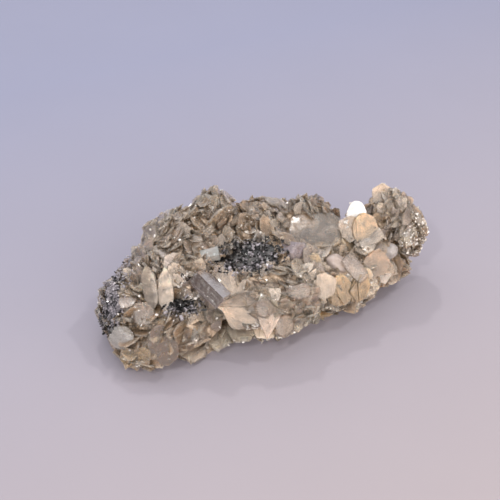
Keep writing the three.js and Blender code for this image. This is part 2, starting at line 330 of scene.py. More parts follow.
BOOKS = (
    Book("great book", (20.4, -2.2, 21.6), (-1, -2, 9), (4, 9, 1), (17, 14, 3.5),
         Tone.PALE, Outline.SLAB, Form.PLATE),
    # The bright flake is white and pearly as a painted highlight of the glare on it.
    Book("bright flake", (33.4, -5.2, 25.1), (-3, -7, 6), (9, -4, 0), (10.5, 6.5, 0.9),
         Tone.WHITE, Outline.ROUND, Form.PEARL),
    Book("notch shoulder", (30, -7, 23), (-3, -7, 6), (3, 6, 8), (8, 9.5, 2),
         Tone.TAN, is_covered=True),
    Book("lobe crown", (42.8, -4, 29.5), (-3, -7, 6), (3, 6, 8), (8, 9, 1.6),
         Tone.TAN, is_covered=True),
    Book("notch plate", (33.5, -10, 23.9), (-2, -8, 5), (2, 6, 8), (8, 10, 1.4),
         Tone.AMBER, Outline.ROUND, Form.CLEAR),
    Book("honey plate", (-35, -16.6, 9.6), (-2, -6, 7), (0, 5, 8), (9, 12, 1.6),
         Tone.HONEY, Outline.ROUND, Form.CLEAR, True),
    Book("top fan", (-12.4, -17.4, 18.5), (-2, -6, 8), (-9, 3, -2), (5.5, 13, 1.2),
         Tone.TAN, Outline.LANCE, Form.CLEAR),
    Book("mid fan", (-13, -19, 15.7), (-3, -7, 6), (-8, 6, 2), (6, 13, 1),
         Tone.TAN, Outline.LANCE, Form.CLEAR),
    Book("low fan", (-14.4, -18, 13.6), (-3, -8, 4), (-4, 7, 6), (5, 9, 1.2),
         Tone.TAN, Outline.LANCE, Form.CLEAR),
    Book("round plate", (-6, -22.1, 17.4), (-1, -7, 6), (3, 6, 8), (5.5, 6, 2.4),
         Tone.ROSE, Outline.ROUND, Form.PLATE),
    Book("round plate seat", (-5.6, -24.2, 13.6), (-1, -8, 5), (-3, -5, -8), (9, 10, 1.5),
         Tone.ROSE, Outline.LANCE),
    Book("twin plate", (5, -22.1, 19.9), (-3, -7, 6), (3, 6, 8), (7.5, 5.5, 2),
         Tone.ROSE, Outline.LOBED, Form.PLATE),
    Book("low plate", (-1.1, -25.4, 11.2), (0, -8, 5), (4, 5, 8), (6, 7, 1.6),
         Tone.ROSE, Outline.ROUND, Form.PLATE),
    Book("flank plate", (14.3, -20.5, 16.9), (-3, -8, 6), (3, 6, 8), (8, 9, 1.6),
         Tone.TAN),
    Book("amber plate", (19, -21.5, 14), (0, -8, 5), (3, 5, 8), (8.5, 10, 1.8),
         Tone.AMBER, Outline.ROUND, Form.CLEAR),
    Book("amber foot", (25.3, -22.6, 13.6), (1, -8, 4), (7, 3, 7), (7.5, 11, 1.8),
         Tone.AMBER, form=Form.CLEAR),
    Book("long plate", (25.4, -19, 18.4), (-2, -6, 6), (4, -7, -6), (5, 9.5, 1.6),
         Tone.GREY, Outline.SLAB, Form.PLATE),
    Book("lobe plate", (33.2, -17.7, 16.1), (-2, -8, 5), (5, 5, 7), (9, 9, 1.4),
         Tone.BROWN, form=Form.CLEAR),
    Book("tall blade", (-33.5, -4.8, 21.9), (-5, -6, 5), (1, 6, 8), (4.8, 14, 1.8),
         Tone.PALE, Outline.LATH, Form.CLEAR),
    Book("tall pair", (-30, -7.8, 21.6), (-4, -7, 5), (2, 5, 8), (4.8, 15, 1.8),
         Tone.PALE, Outline.LATH, Form.CLEAR),
    Book("blunt plate", (-37.2, -8.5, 15.9), (-2, -7, 7), (2, 7, 7), (6.5, 7, 1.8),
         Tone.ROSE, Outline.SLAB, Form.PLATE),
    Book("pale tip plate", (-44.8, -9.2, 10.5), (-6, -6, 4), (6, -6, 2), (7, 8, 1.4),
         Tone.WHITE, Outline.ROUND),
    Book("shield", (-12.5, -12.1, 21.4), (-2, -6, 6), (2, -7, -7), (6, 11, 1.6),
         Tone.TAN, Outline.SLAB),
    Book("first ledge", (-25.5, -15.5, 3.6), (-1, -3, 9), (-3, -9, 0), (9, 10, 1.6),
         Tone.PALE),
    # The second and third ledges are cream and the fourth is pearly: partly their own pale colour, partly
    # painted light on a front that the bulge above shades.
    Book("second ledge", (-18, -15, 5.2), (1, -3, 9), (-2, -9, 1), (9, 10, 1.4),
         Tone.CREAM),
    Book("third ledge", (-11, -16.8, 6.4), (0, -3, 9), (2, -9, 1), (9, 10, 1.6),
         Tone.CREAM),
    Book("fourth ledge", (-4, -19, 6.6), (1, -4, 8), (1, -9, 1), (9, 9, 1.4),
         Tone.TAN, form=Form.PEARL),
)

MAIN_PRISM = Prism("aquamarine_main", (-18.4, -12, 20.6), (4, -9, -4), 8.4, 11.5)
TEAL_PRISM = Prism("aquamarine_teal", (-15.6, -3.6, 26.2), (8, -3, 2), 4.8, 8)
RIGHT_PRISM = Prism("aquamarine_right", (9.4, -7.8, 21.8), (3, -8, 4), 7.6, 9)
LOBE_PRISM = Prism("aquamarine_lobe", (40.2, -13.8, 15.8), (-1, -8, 6), 6.2, 8)
WHITE_PRISM = Prism("quartz_crystal", (22, -14.5, 18), (6, -7, -4), 5.6, 8)
PRISMS = (MAIN_PRISM, TEAL_PRISM, RIGHT_PRISM, LOBE_PRISM, WHITE_PRISM)

CENTRE_PATCH = Patch("schorl_centre", (-2.5, -5.5, 22), (9, -3, 2), (-3, -6, 8), (18, 9, 6))
LEFT_PATCH = Patch("schorl_left_end", (-43.5, 0.5, 13.5), (-3, -4, -8), (-9, -2, 4), (15, 9, 5))
SEAM_PATCH = Patch("schorl_seam", (-25, -9.5, 15), (9, -4, 1), (-3, -7, 6), (10, 4.5, 5))
PATCHES = (CENTRE_PATCH, LEFT_PATCH, SEAM_PATCH)
SPECKS = (
    Patch("prism_specks", (-22, -8.5, 21.5), (4, -9, -4), (-3, -7, 6), (11, 3, 2)),
    Patch("edge_specks", (-39, 5, 20), (8, 3, 7), (-6, -2, 8), (18, 6, 2)),
)

ZONES = (
    Zone((-33, -15, 8), 6, Tone.BROWN, 0.6),
    # Cream on the low front: partly the sheets' own pale colour, partly painted light on a front that the
    # bulge above shades.
    Zone((-10, -17, 5), 13, Tone.CREAM, 0.8),
    Zone((-40, -12, 4), 9, Tone.AMBER, 0.6),
    # More of that cream on the low front right of the middle, partly painted light.
    Zone((10, -21, 6), 10, Tone.CREAM, 0.7),
    Zone((37, -15, 10), 9, Tone.BROWN, 0.8),
    Zone((24, -20, 13), 9, Tone.AMBER, 0.7),
    Zone((33, -8, 24), 6, Tone.AMBER, 0.7),
    # Cream at the low right end: a painted highlight where that end catches the light.
    Zone((51, -11, 16), 7, Tone.CREAM, 0.8),
    Zone((-44, 2, 16), 9, Tone.GREY, 0.7),
    Zone((-36, 8, 22), 10, Tone.GREY, 0.5),
    Zone((-2, -6, 23), 9, Tone.GREY, 0.7),
    Zone((5, 4, 29), 9, Tone.BROWN, 0.4),
    Zone((-20, -8, 18), 8, Tone.GREY, 0.5),
)

# Where bright crumbs crowd: the low right end, the low front, the large crystal's root and the bright flake.
# Their white is painted glitter; their gloss catches the glint lights.
GLINT_SPOTS = (((51, -12, 17), 7), ((-8, -20, 4), 12), ((-22, -10, 22), 5), ((33, -6, 26), 5))

# Where the mica is fine: the raised lobe, the top and the left edge.
FINE_SPOTS = (((47, -6, 26), 12), ((50, -9, 16), 9), ((8, 8, 28), 10), ((-38, 5, 18), 10))


def growing_shift() -> Array:
    """Finds the step from the growing frame to the part's frame, from where the main prism was packed."""
    low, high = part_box(MAIN_PRISM.name)
    return np.array((low + high) / 2) / MM - np.array(MAIN_PRISM.at)


SHIFT = growing_shift()


def to_part(points: Array) -> Array:
    """Takes points from the growing frame to the part's frame, in metres."""
    return (points + SHIFT) * MM


class Dice:
    """The repeatable numbers from 0 to 1 that placed the blades of the solid."""

    MASK = 0xFFFFFFFF

    def __init__(self, seed: int) -> None:
        """Starts the row of numbers at a seed."""
        self.state = seed

    def roll(self) -> float:
        """Gives the next number.

        Returns:
            A number from 0 to 1.
        """
        self.state = (self.state + 0x6D2B79F5) & self.MASK
        mixed = ((self.state ^ (self.state >> 15)) * (1 | self.state)) & self.MASK
        mixed = ((mixed + ((mixed ^ (mixed >> 7)) * (61 | mixed))) ^ mixed) & self.MASK
        return (mixed ^ (mixed >> 14)) / (self.MASK + 1)

    def between(self, low: float, high: float) -> float:
        """Gives the next number within limits."""
        return low + (high - low) * self.roll()


# Shader graphs

class Graph:
    """A shader node tree with short calls for adding and joining its nodes."""

    def __init__(self, tree: NodeTree) -> None:
        """Wraps a node tree."""
        self.tree = tree

    def fill(self, node: Node, inputs: Inputs) -> None:
        """Fills a node's inputs: links those that are given sockets and sets the others.

        Args:
            node: The node.
            inputs: Values or output sockets, by the input's name or place.
        """
        for name, value in inputs.items():
            if isinstance(value, Socket):
                self.tree.links.new(value, node.inputs[name])
            else:
                node.inputs[name].default_value = value

    def add(self, kind: str, inputs: Inputs | None = None, **settings: object) -> Node:
        """Adds a node.

        Args:
            kind: The node's type, without the leading ShaderNode.
            inputs: Values or output sockets for its inputs.
            settings: Properties of the node.

        Returns:
            The new node.
        """
        node = self.tree.nodes.new("ShaderNode" + kind)
        for name, value in settings.items():
            setattr(node, name, value)
        self.fill(node, inputs or {})
        return node

    def group(self, tree: NodeTree, inputs: Inputs) -> Socket:
        """Adds a node group and gives its first output."""
        return self.add("Group", inputs, node_tree=tree).outputs[0]

    def place(self) -> Socket:
        """Gives the coordinates of the object."""
        return self.add("TexCoord").outputs["Object"]

    def attribute(self, name: str) -> Node:
        """Reads an attribute of the mesh."""
        return self.add("Attribute", attribute_name=name)

    def noise(self, vector: Socket, scale: float | Socket, detail: float = 4) -> Socket:
        """Adds cloudy noise and gives its value."""
        return self.add("TexNoise", {"Vector": vector, "Scale": scale, "Detail": detail}).outputs[0]

    def span(self, value: Socket, old: Span, new: Span) -> Socket:
        """Maps a value from one span to another, held to its ends."""
        inputs = {"Value": value, 1: old[0], 2: old[1], 3: new[0], 4: new[1]}
        return self.add("MapRange", inputs).outputs[0]

    def math(self, operation: str, first: object, second: object) -> Socket:
        """Works out one value from two."""
        return self.add("Math", {0: first, 1: second}, operation=operation).outputs[0]

    def vector(self, operation: str, inputs: Inputs) -> Socket:
        """Works out a vector from others."""
        return self.add("VectorMath", inputs, operation=operation).outputs[0]

    def mix(self, share: object, first: object, second: object, way: str = "MIX") -> Socket:
        """Mixes two colours."""
        inputs = {0: share, 6: first, 7: second}
        return self.add("Mix", inputs, data_type="RGBA", blend_type=way).outputs[2]

    def stretch(self, vector: Socket, scale: Point) -> Socket:
        """Stretches coordinates."""
        return self.add("Mapping", {"Vector": vector, "Scale": scale}).outputs[0]


def new_group(
    name: str, inputs: dict[str, str], output: str, kind: str
) -> tuple[Graph, dict[str, Socket], Node]:
    """Starts a shader node group.

    Args:
        name: The group's name.
        inputs: Socket kinds by name.
        output: The name of its output.
        kind: The socket kind of its output.

    Returns:
        The group's graph, its input sockets by name and its output node.
    """
    tree = bpy.data.node_groups.new(name, "ShaderNodeTree")
    for label, sort in inputs.items():
        tree.interface.new_socket(label, in_out="INPUT", socket_type="NodeSocket" + sort)
    tree.interface.new_socket(output, in_out="OUTPUT", socket_type="NodeSocket" + kind)
    start = tree.nodes.new("NodeGroupInput")
    return Graph(tree), {socket.name: socket for socket in start.outputs}, tree.nodes.new("NodeGroupOutput")


class SharedEffects:
    """Effects that more than one finish uses, each made once."""

    def __init__(self) -> None:
        """Makes the groups."""
        self.dirt_and_shade = self._dirt_and_shade()
        self.grain = self._grain()
        self.glitter = self._glitter()

    @staticmethod
    def _glitter() -> NodeTree:
        """Makes a mosaic of small facets that each lean their own way, as a changed normal.

        Returns:
            The node group.
        """
        inputs = {"Vector": "Vector", "Scale": "Float", "Lean": "Float"}
        graph, start, end = new_group("facet_glitter", inputs, "Normal", "Vector")
        cells = graph.add("TexVoronoi", {"Vector": start["Vector"], "Scale": start["Scale"]})
        middle = graph.vector("SUBTRACT", {0: cells.outputs["Color"], 1: (0.5, 0.5, 0.5)})
        lean = graph.vector("SCALE", {0: middle, "Scale": start["Lean"]})
        leant = graph.vector("ADD", {0: graph.add("NewGeometry").outputs["Normal"], 1: lean})
        graph.fill(end, {"Normal": graph.vector("NORMALIZE", {0: leant})})
        return graph.tree

    @staticmethod
    def _dirt_and_shade() -> NodeTree:
        """Makes a colour mixed in by a depth mask and broken up by noise: brown dirt and painted shade in the
        mica's hollows, dust on the crusts.

        Returns:
            The node group.
        """
        inputs = {"Colour": "Color", "Dirt And Shade": "Color", "Depth": "Float", "Vector": "Vector", "Scale": "Float"}
        graph, start, end = new_group("dirt_and_painted_shade", inputs, "Colour", "Color")
        specks = graph.noise(start["Vector"], start["Scale"], 5.0)
        share = graph.math("MULTIPLY", start["Depth"], graph.span(specks, NOISE_SPAN, (0.35, 1.25)))
        clamped = graph.span(share, WHOLE, WHOLE)
        graph.fill(end, {"Colour": graph.mix(clamped, start["Colour"], start["Dirt And Shade"])})
        return graph.tree

    @staticmethod
    def _grain() -> NodeTree:
        """Makes a fine uneven height from cloudy noise and straight growth lines.

        Returns:
            The node group.
        """
        inputs = {"Vector": "Vector", "Lines": "Vector", "Scale": "Float", "Line Share": "Float"}
        graph, start, end = new_group("growth_grain", inputs, "Height", "Float")
        clouds = graph.noise(start["Vector"], start["Scale"], 5.0)
        lines = graph.noise(start["Lines"], 1.0, 3.0)
        height = graph.add("Mix", {0: start["Line Share"], 2: clouds, 3: lines}).outputs[0]
        graph.fill(end, {"Height": height})
        return graph.tree


def new_material(name: str) -> tuple[Material, Graph, Node]:
    """Starts a material.

    Args:
        name: Its name.

    Returns:
        The material, its graph and its Principled shader.
    """
    material = bpy.data.materials.new(name)
    material.use_nodes = True
    return material, Graph(material.node_tree), material.node_tree.nodes["Principled BSDF"]


# Finishes

@dataclass(frozen=True)
class Relief:
    """A fine uneven surface of clouds and growth lines."""

    scale: float
    line_share: float
    stretch: Point
    strength: float
    depth: float

    def inputs(self, graph: Graph, effects: SharedEffects, lie: Socket) -> Inputs:
        """Gives the inputs of the bump that shows it.

        Args:
            graph: The graph of the material.
            effects: The shared node groups.
            lie: The coordinates of the piece.

        Returns:
            Values and sockets by name.
        """
        lines = graph.stretch(lie, self.stretch)
        height = graph.group(effects.grain, {
            "Vector": lie, "Lines": lines, "Scale": self.scale, "Line Share": self.line_share,
        })
        return {"Height": height, "Strength": self.strength, "Distance": self.depth}


@dataclass(frozen=True)
class MicaFinish:
    """Glassy sheets with pale edges, growth lines, and brown dirt and painted shade in the hollows between
    them.
    """

    name: str = "mica_sheets"
    # The brown of the hollows between the blades: dirt and painted shade.
    dirt_and_shade: Colour = (0.68, 0.60, 0.51)
    speck_scale: float = 0.6
    # The pale band along the sheets' edges: partly the pale colour of broken edges, partly a painted
    # highlight where the edges catch the light.
    edge: Colour = (0.96, 0.91, 0.84)
    edge_band: Span = (0.86, 1.0)
    edge_share: float = 0.7
    rough: Span = (0.28, 0.06)
    rough_scale: float = 1.1
    cloud_scale: float = 0.45
    cloud_shade: Span = (0.80, 1.12)
    line_stretch: Point = (2.8, 0.3, 1.0)
    line_shade: Span = (0.85, 1.1)
    relief: Relief = Relief(0.8, 0.5, (2.2, 0.2, 2.2), 0.2, 0.35 * MM)
    facet_scale: float = 0.9
    lean: float = 0.22
    glow: float = 0.35
    glow_depth: float = 0.6 * MM
    clear: float = 0.82
    coat: float = 0.35

    def material(self, effects: SharedEffects) -> Material:
        """Makes the finish.

        Args:
            effects: The shared node groups.

        Returns:
            The material.
        """
        material, graph, shader = new_material(self.name)
        tint = graph.attribute("tint").outputs
        lie = graph.attribute("lie").outputs["Vector"]
        clouds = graph.span(graph.noise(lie, self.cloud_scale), NOISE_SPAN, self.cloud_shade)
        lines = graph.noise(graph.stretch(lie, self.line_stretch), 1.0)
        shade = graph.math("MULTIPLY", clouds, graph.span(lines, (0.35, 0.65), self.line_shade))
        toned = graph.mix(1.0, tint["Color"], shade, "MULTIPLY")
        # Pale edges: partly their own colour, partly a painted highlight.
        rim = graph.span(graph.attribute("rim").outputs["Fac"], self.edge_band, WHOLE)
        edged = graph.mix(graph.math("MULTIPLY", rim, self.edge_share), toned, rgba(self.edge))
        gloss = graph.span(tint["Alpha"], WHOLE, self.rough)
        patchy = graph.span(graph.noise(lie, self.rough_scale), NOISE_SPAN, (0.85, 1.2))
        facets = graph.group(effects.glitter, {"Vector": lie, "Scale": self.facet_scale, "Lean": self.lean})
        bump = graph.add("Bump", {**self.relief.inputs(graph, effects, lie), "Normal": facets})
        graph.fill(shader, {
            # The sheets turn brown by how deep they lie between the blades: dirt and painted shade.
            "Base Color": graph.group(effects.dirt_and_shade, {
                "Colour": edged, "Dirt And Shade": rgba(self.dirt_and_shade), "Depth": graph.attribute("deep").outputs["Fac"],
                "Vector": lie, "Scale": self.speck_scale,
            }),
            "Roughness": graph.math("MULTIPLY", gloss, patchy),
            "Normal": bump.outputs[0],
            "IOR": 1.58,
            "Specular IOR Level": 0.6,
            "Transmission Weight": self.clear,
            "Subsurface Weight": self.glow,
            "Subsurface Scale": self.glow_depth,
            "Subsurface Radius": (1.0, 0.95, 0.9),
            "Coat Weight": self.coat,
            "Coat Roughness": 0.07,
        })
        return material


@dataclass(frozen=True)
class GroundFinish:
    """Mica so fine that only its glitter and its patchy colour show."""

    name: str = "mica_ground"
    light: Colour = (0.88, 0.80, 0.71)
    dark: Colour = (0.64, 0.56, 0.48)
    speck_scale: float = 300.0
    cell_size: float = 0.9 * MM
    cell_height: float = 0.5 * MM
    rough: Span = (0.65, 0.2)

    def material(self, effects: SharedEffects) -> Material:
        """Makes the finish.

        Args:
            effects: The shared node groups.

        Returns:
            The material.
        """
        material, graph, shader = new_material(self.name)
        place = graph.place()
        cells = graph.add("TexVoronoi", {"Vector": place, "Scale": 1 / self.cell_size}).outputs
        chance = graph.add("SeparateColor", {0: cells["Color"]}).outputs
        toned = graph.mix(chance[0], rgba(self.dark), rgba(self.light))
        gaps = graph.span(cells["Distance"], (0.3, 0.8), (0.0, 0.9))
        height = graph.math("SUBTRACT", chance[2], cells["Distance"])
        bump = graph.add("Bump", {"Height": height, "Strength": 0.7, "Distance": self.cell_height})
        graph.fill(shader, {
            "Base Color": graph.group(effects.dirt_and_shade, {
                "Colour": toned, "Dirt And Shade": rgba(self.dark), "Depth": gaps, "Vector": place,
                "Scale": self.speck_scale,
            }),
            "Roughness": graph.span(chance[1], WHOLE, self.rough),
            "Normal": bump.outputs[0],
            "IOR": 1.58,
        })
        return material


@dataclass(frozen=True)
class BerylFinish:
    """Cloudy glass with veils, growth lines along the prism and a faint colour of its own."""

    name: str
    body: Colour
    veil: Colour
    absorb: Colour
    clear: float = 0.6
    density: float = 60.0
    veil_scale: float = 420.0
    veil_stretch: Point = (0.9, 0.9, 0.12)
    # The brown mixed in towards both ends of the crystal.
    dirt_and_shade: Colour = (0.40, 0.33, 0.28)
    speck_scale: float = 700.0
    rough: Span = (0.08, 0.34)
    rough_scale: float = 900.0
    relief: Relief = Relief(1.2, 0.6, (2.4, 2.4, 0.15), 0.4, 0.3 * MM)

    def material(self, effects: SharedEffects) -> Material:
        """Makes the finish.

        Args:
            effects: The shared node groups.

        Returns:
            The material.
        """
        material, graph, shader = new_material(self.name)
        place = graph.place()
        lie = graph.attribute("lie").outputs["Vector"]
        streaks = graph.noise(graph.stretch(lie, self.veil_stretch), 1.0, 5)
        veils = graph.math("MULTIPLY", graph.noise(place, self.veil_scale, 6), streaks)
        toned = graph.mix(graph.span(veils, (0.2, 0.36), WHOLE), rgba(self.body), rgba(self.veil))
        ends = graph.span(graph.attribute("rim").outputs["Fac"], (0.6, 1.0), (0.0, 0.55))
        graph.fill(shader, {
            "Base Color": graph.group(effects.dirt_and_shade, {
                "Colour": toned, "Dirt And Shade": rgba(self.dirt_and_shade), "Depth": ends, "Vector": place,
                "Scale": self.speck_scale,
            }),
            "Roughness": graph.span(graph.noise(place, self.rough_scale, 5), (0.35, 0.7), self.rough),
            "Normal": graph.add("Bump", self.relief.inputs(graph, effects, lie)).outputs[0],
            "IOR": 1.575,
            "Transmission Weight": self.clear,
        })
        volume = graph.add("VolumeAbsorption", {"Color": rgba(self.absorb), "Density": self.density})
        graph.fill(graph.tree.nodes["Material Output"], {"Volume": volume.outputs[0]})
        return material


@dataclass(frozen=True)
class MilkyFinish:
    """A milky white stone with a waxy gloss and faint stains."""

    name: str = "milky_white"
    body: Colour = (0.645, 0.595, 0.57)
    stain: Colour = (0.61, 0.53, 0.46)
    stain_scale: float = 500.0
    rough: Span = (0.22, 0.45)
    rough_scale: float = 900.0
    glow: float = 0.4
    glow_depth: float = 2 * MM
    relief: Relief = Relief(0.9, 0.35, (2.0, 2.0, 0.2), 0.5, 0.4 * MM)

    def material(self, effects: SharedEffects) -> Material:
        """Makes the finish.

        Args:
            effects: The shared node groups.

        Returns:
            The material.
        """
        material, graph, shader = new_material(self.name)
        place = graph.place()
        lie = graph.attribute("lie").outputs["Vector"]
        stains = graph.span(graph.noise(place, self.stain_scale, 6), (0.45, 0.75), (0.0, 0.6))
        graph.fill(shader, {
            "Base Color": graph.mix(stains, rgba(self.body), rgba(self.stain)),
            "Roughness": graph.span(graph.noise(place, self.rough_scale, 5), (0.35, 0.7), self.rough),
            "Normal": graph.add("Bump", self.relief.inputs(graph, effects, lie)).outputs[0],
            "IOR": 1.55,
            "Subsurface Weight": self.glow,
            "Subsurface Scale": self.glow_depth,
            "Subsurface Radius": (1.0, 0.9, 0.8),
        })
        return material


@dataclass(frozen=True)
class SchorlFinish:
    """Black grains with steel-grey glints, some of them dusted."""

    name: str = "schorl_grains"
    black: Colour = (0.10, 0.10, 0.105)
    # The grey of some grains: partly grey crystals, partly painted glints on the black.
    grey: Colour = (0.58, 0.56, 0.58)
    dust: Colour = (0.52, 0.50, 0.50)
    dust_scale: float = 650.0
    speck_scale: float = 900.0
    rough: Span = (0.45, 0.12)

    def material(self, effects: SharedEffects) -> Material:
        """Makes the finish.

        Args:
            effects: The shared node groups.

        Returns:
            The material.
        """
        material, graph, shader = new_material(self.name)
        place = graph.place()
        tint = graph.attribute("tint").outputs
        dusted = graph.span(graph.noise(place, self.dust_scale, 5), (0.52, 0.72), (0.0, 0.5))
        graph.fill(shader, {
            "Base Color": graph.group(effects.dirt_and_shade, {
                "Colour": tint["Color"], "Dirt And Shade": rgba(self.dust), "Depth": dusted, "Vector": place,
                "Scale": self.speck_scale,
            }),
            "Roughness": graph.span(tint["Alpha"], WHOLE, self.rough),
            "IOR": 1.65,
        })
        return material


@dataclass(frozen=True)
class PaperFinish:
    """Pale matt paper, a little bluer towards the back: painted light, the colour of the light changing
    across the floor.
    """

    name: str = "pale_paper"
    near: Colour = (0.600, 0.567, 0.580)
    far: Colour = (0.524, 0.533, 0.614)
    reach: Span = (-0.10, 0.16)
    mottle: Span = (0.985, 1.0)
    rough: float = 0.85

    def material(self) -> Material:
        """Makes the finish.

        Returns:
            The material.
        """
        material, graph, shader = new_material(self.name)
        place = graph.place()
        share = graph.span(graph.add("SeparateXYZ", {0: place}).outputs["Y"], self.reach, WHOLE)
        toned = graph.mix(share, rgba(self.near), rgba(self.far))
        mottled = graph.span(graph.noise(place, 30.0), NOISE_SPAN, self.mottle)
        paper = graph.mix(1.0, toned, mottled, "MULTIPLY")
        graph.fill(shader, {"Base Color": paper, "Roughness": self.rough})
        return material


# Stock shapes

@dataclass
class Shape:
    """A small closed mesh about its own middle, with how near each point is to its rim."""

    points: Array
    faces: Array
    rim: Array


def read_shape(mesh: Mesh, rim_of: Callable[[Vertex], float]) -> Shape:
    """Turns a bmesh into a stock shape and frees it.

    Args:
        mesh: The bmesh, closed and with its faces outwards.
        rim_of: Gives the rim value, 0 to 1, of a vertex.

    Returns:
        The shape in triangles.
    """
    bmesh.ops.triangulate(mesh, faces=mesh.faces)
    mesh.verts.index_update()
    points = np.array([vertex.co for vertex in mesh.verts])
    faces = np.array([[vertex.index for vertex in face.verts] for face in mesh.faces])
    rim = np.array([rim_of(vertex) for vertex in mesh.verts])
    mesh.free()
    return Shape(points, faces, rim)


def joined_shape(parts: list[Shape]) -> Shape:
    """Joins shapes into one.

    Args:
        parts: The shapes.

    Returns:
        All of them as one shape.
    """
    starts = np.cumsum([0] + [len(part.points) for part in parts[:-1]])
    return Shape(
        np.concatenate([part.points for part in parts]),
        np.concatenate([part.faces + start for part, start in zip(parts, starts)]),
        np.concatenate([part.rim for part in parts]),
    )


def raise_outline(mesh: Mesh, height: float) -> None:
    """Thickens a flat outline upwards.

    Args:
        mesh: The outline, as a single face.
        height: How thick it becomes.
    """
    top = bmesh.ops.extrude_face_region(mesh, geom=mesh.faces[:])
    risen = [item for item in top["geom"] if isinstance(item, Vertex)]
    bmesh.ops.translate(mesh, verts=risen, vec=(0, 0, height))


def bevel_edges(mesh: Mesh, edges: list[bmesh.types.BMEdge], offset: float, segments: int) -> None:
    """Bevels edges.

    Args:
        mesh: The mesh.
        edges: Its edges.
        offset: How wide the bevel is.
        segments: How many steps it has.
    """
    bmesh.ops.bevel(
        mesh, geom=edges, offset=offset, offset_type="OFFSET", segments=segments, profile=0.5, affect="EDGES",
        material=-1,
    )


def cut_off(mesh: Mesh, at: Vector, out: Vector) -> None:
    """Cuts away what lies beyond a plane."""
    geometry = [*mesh.verts, *mesh.edges, *mesh.faces]
    bmesh.ops.bisect_plane(mesh, geom=geometry, plane_co=at, plane_no=out, clear_outer=True)


def edge_share(vertex: Vertex) -> float:
    """Gives how far out a vertex lies, 0 at the middle and 1 at the edge."""
    return min(1.0, 2 * math.hypot(vertex.co.x, vertex.co.y))


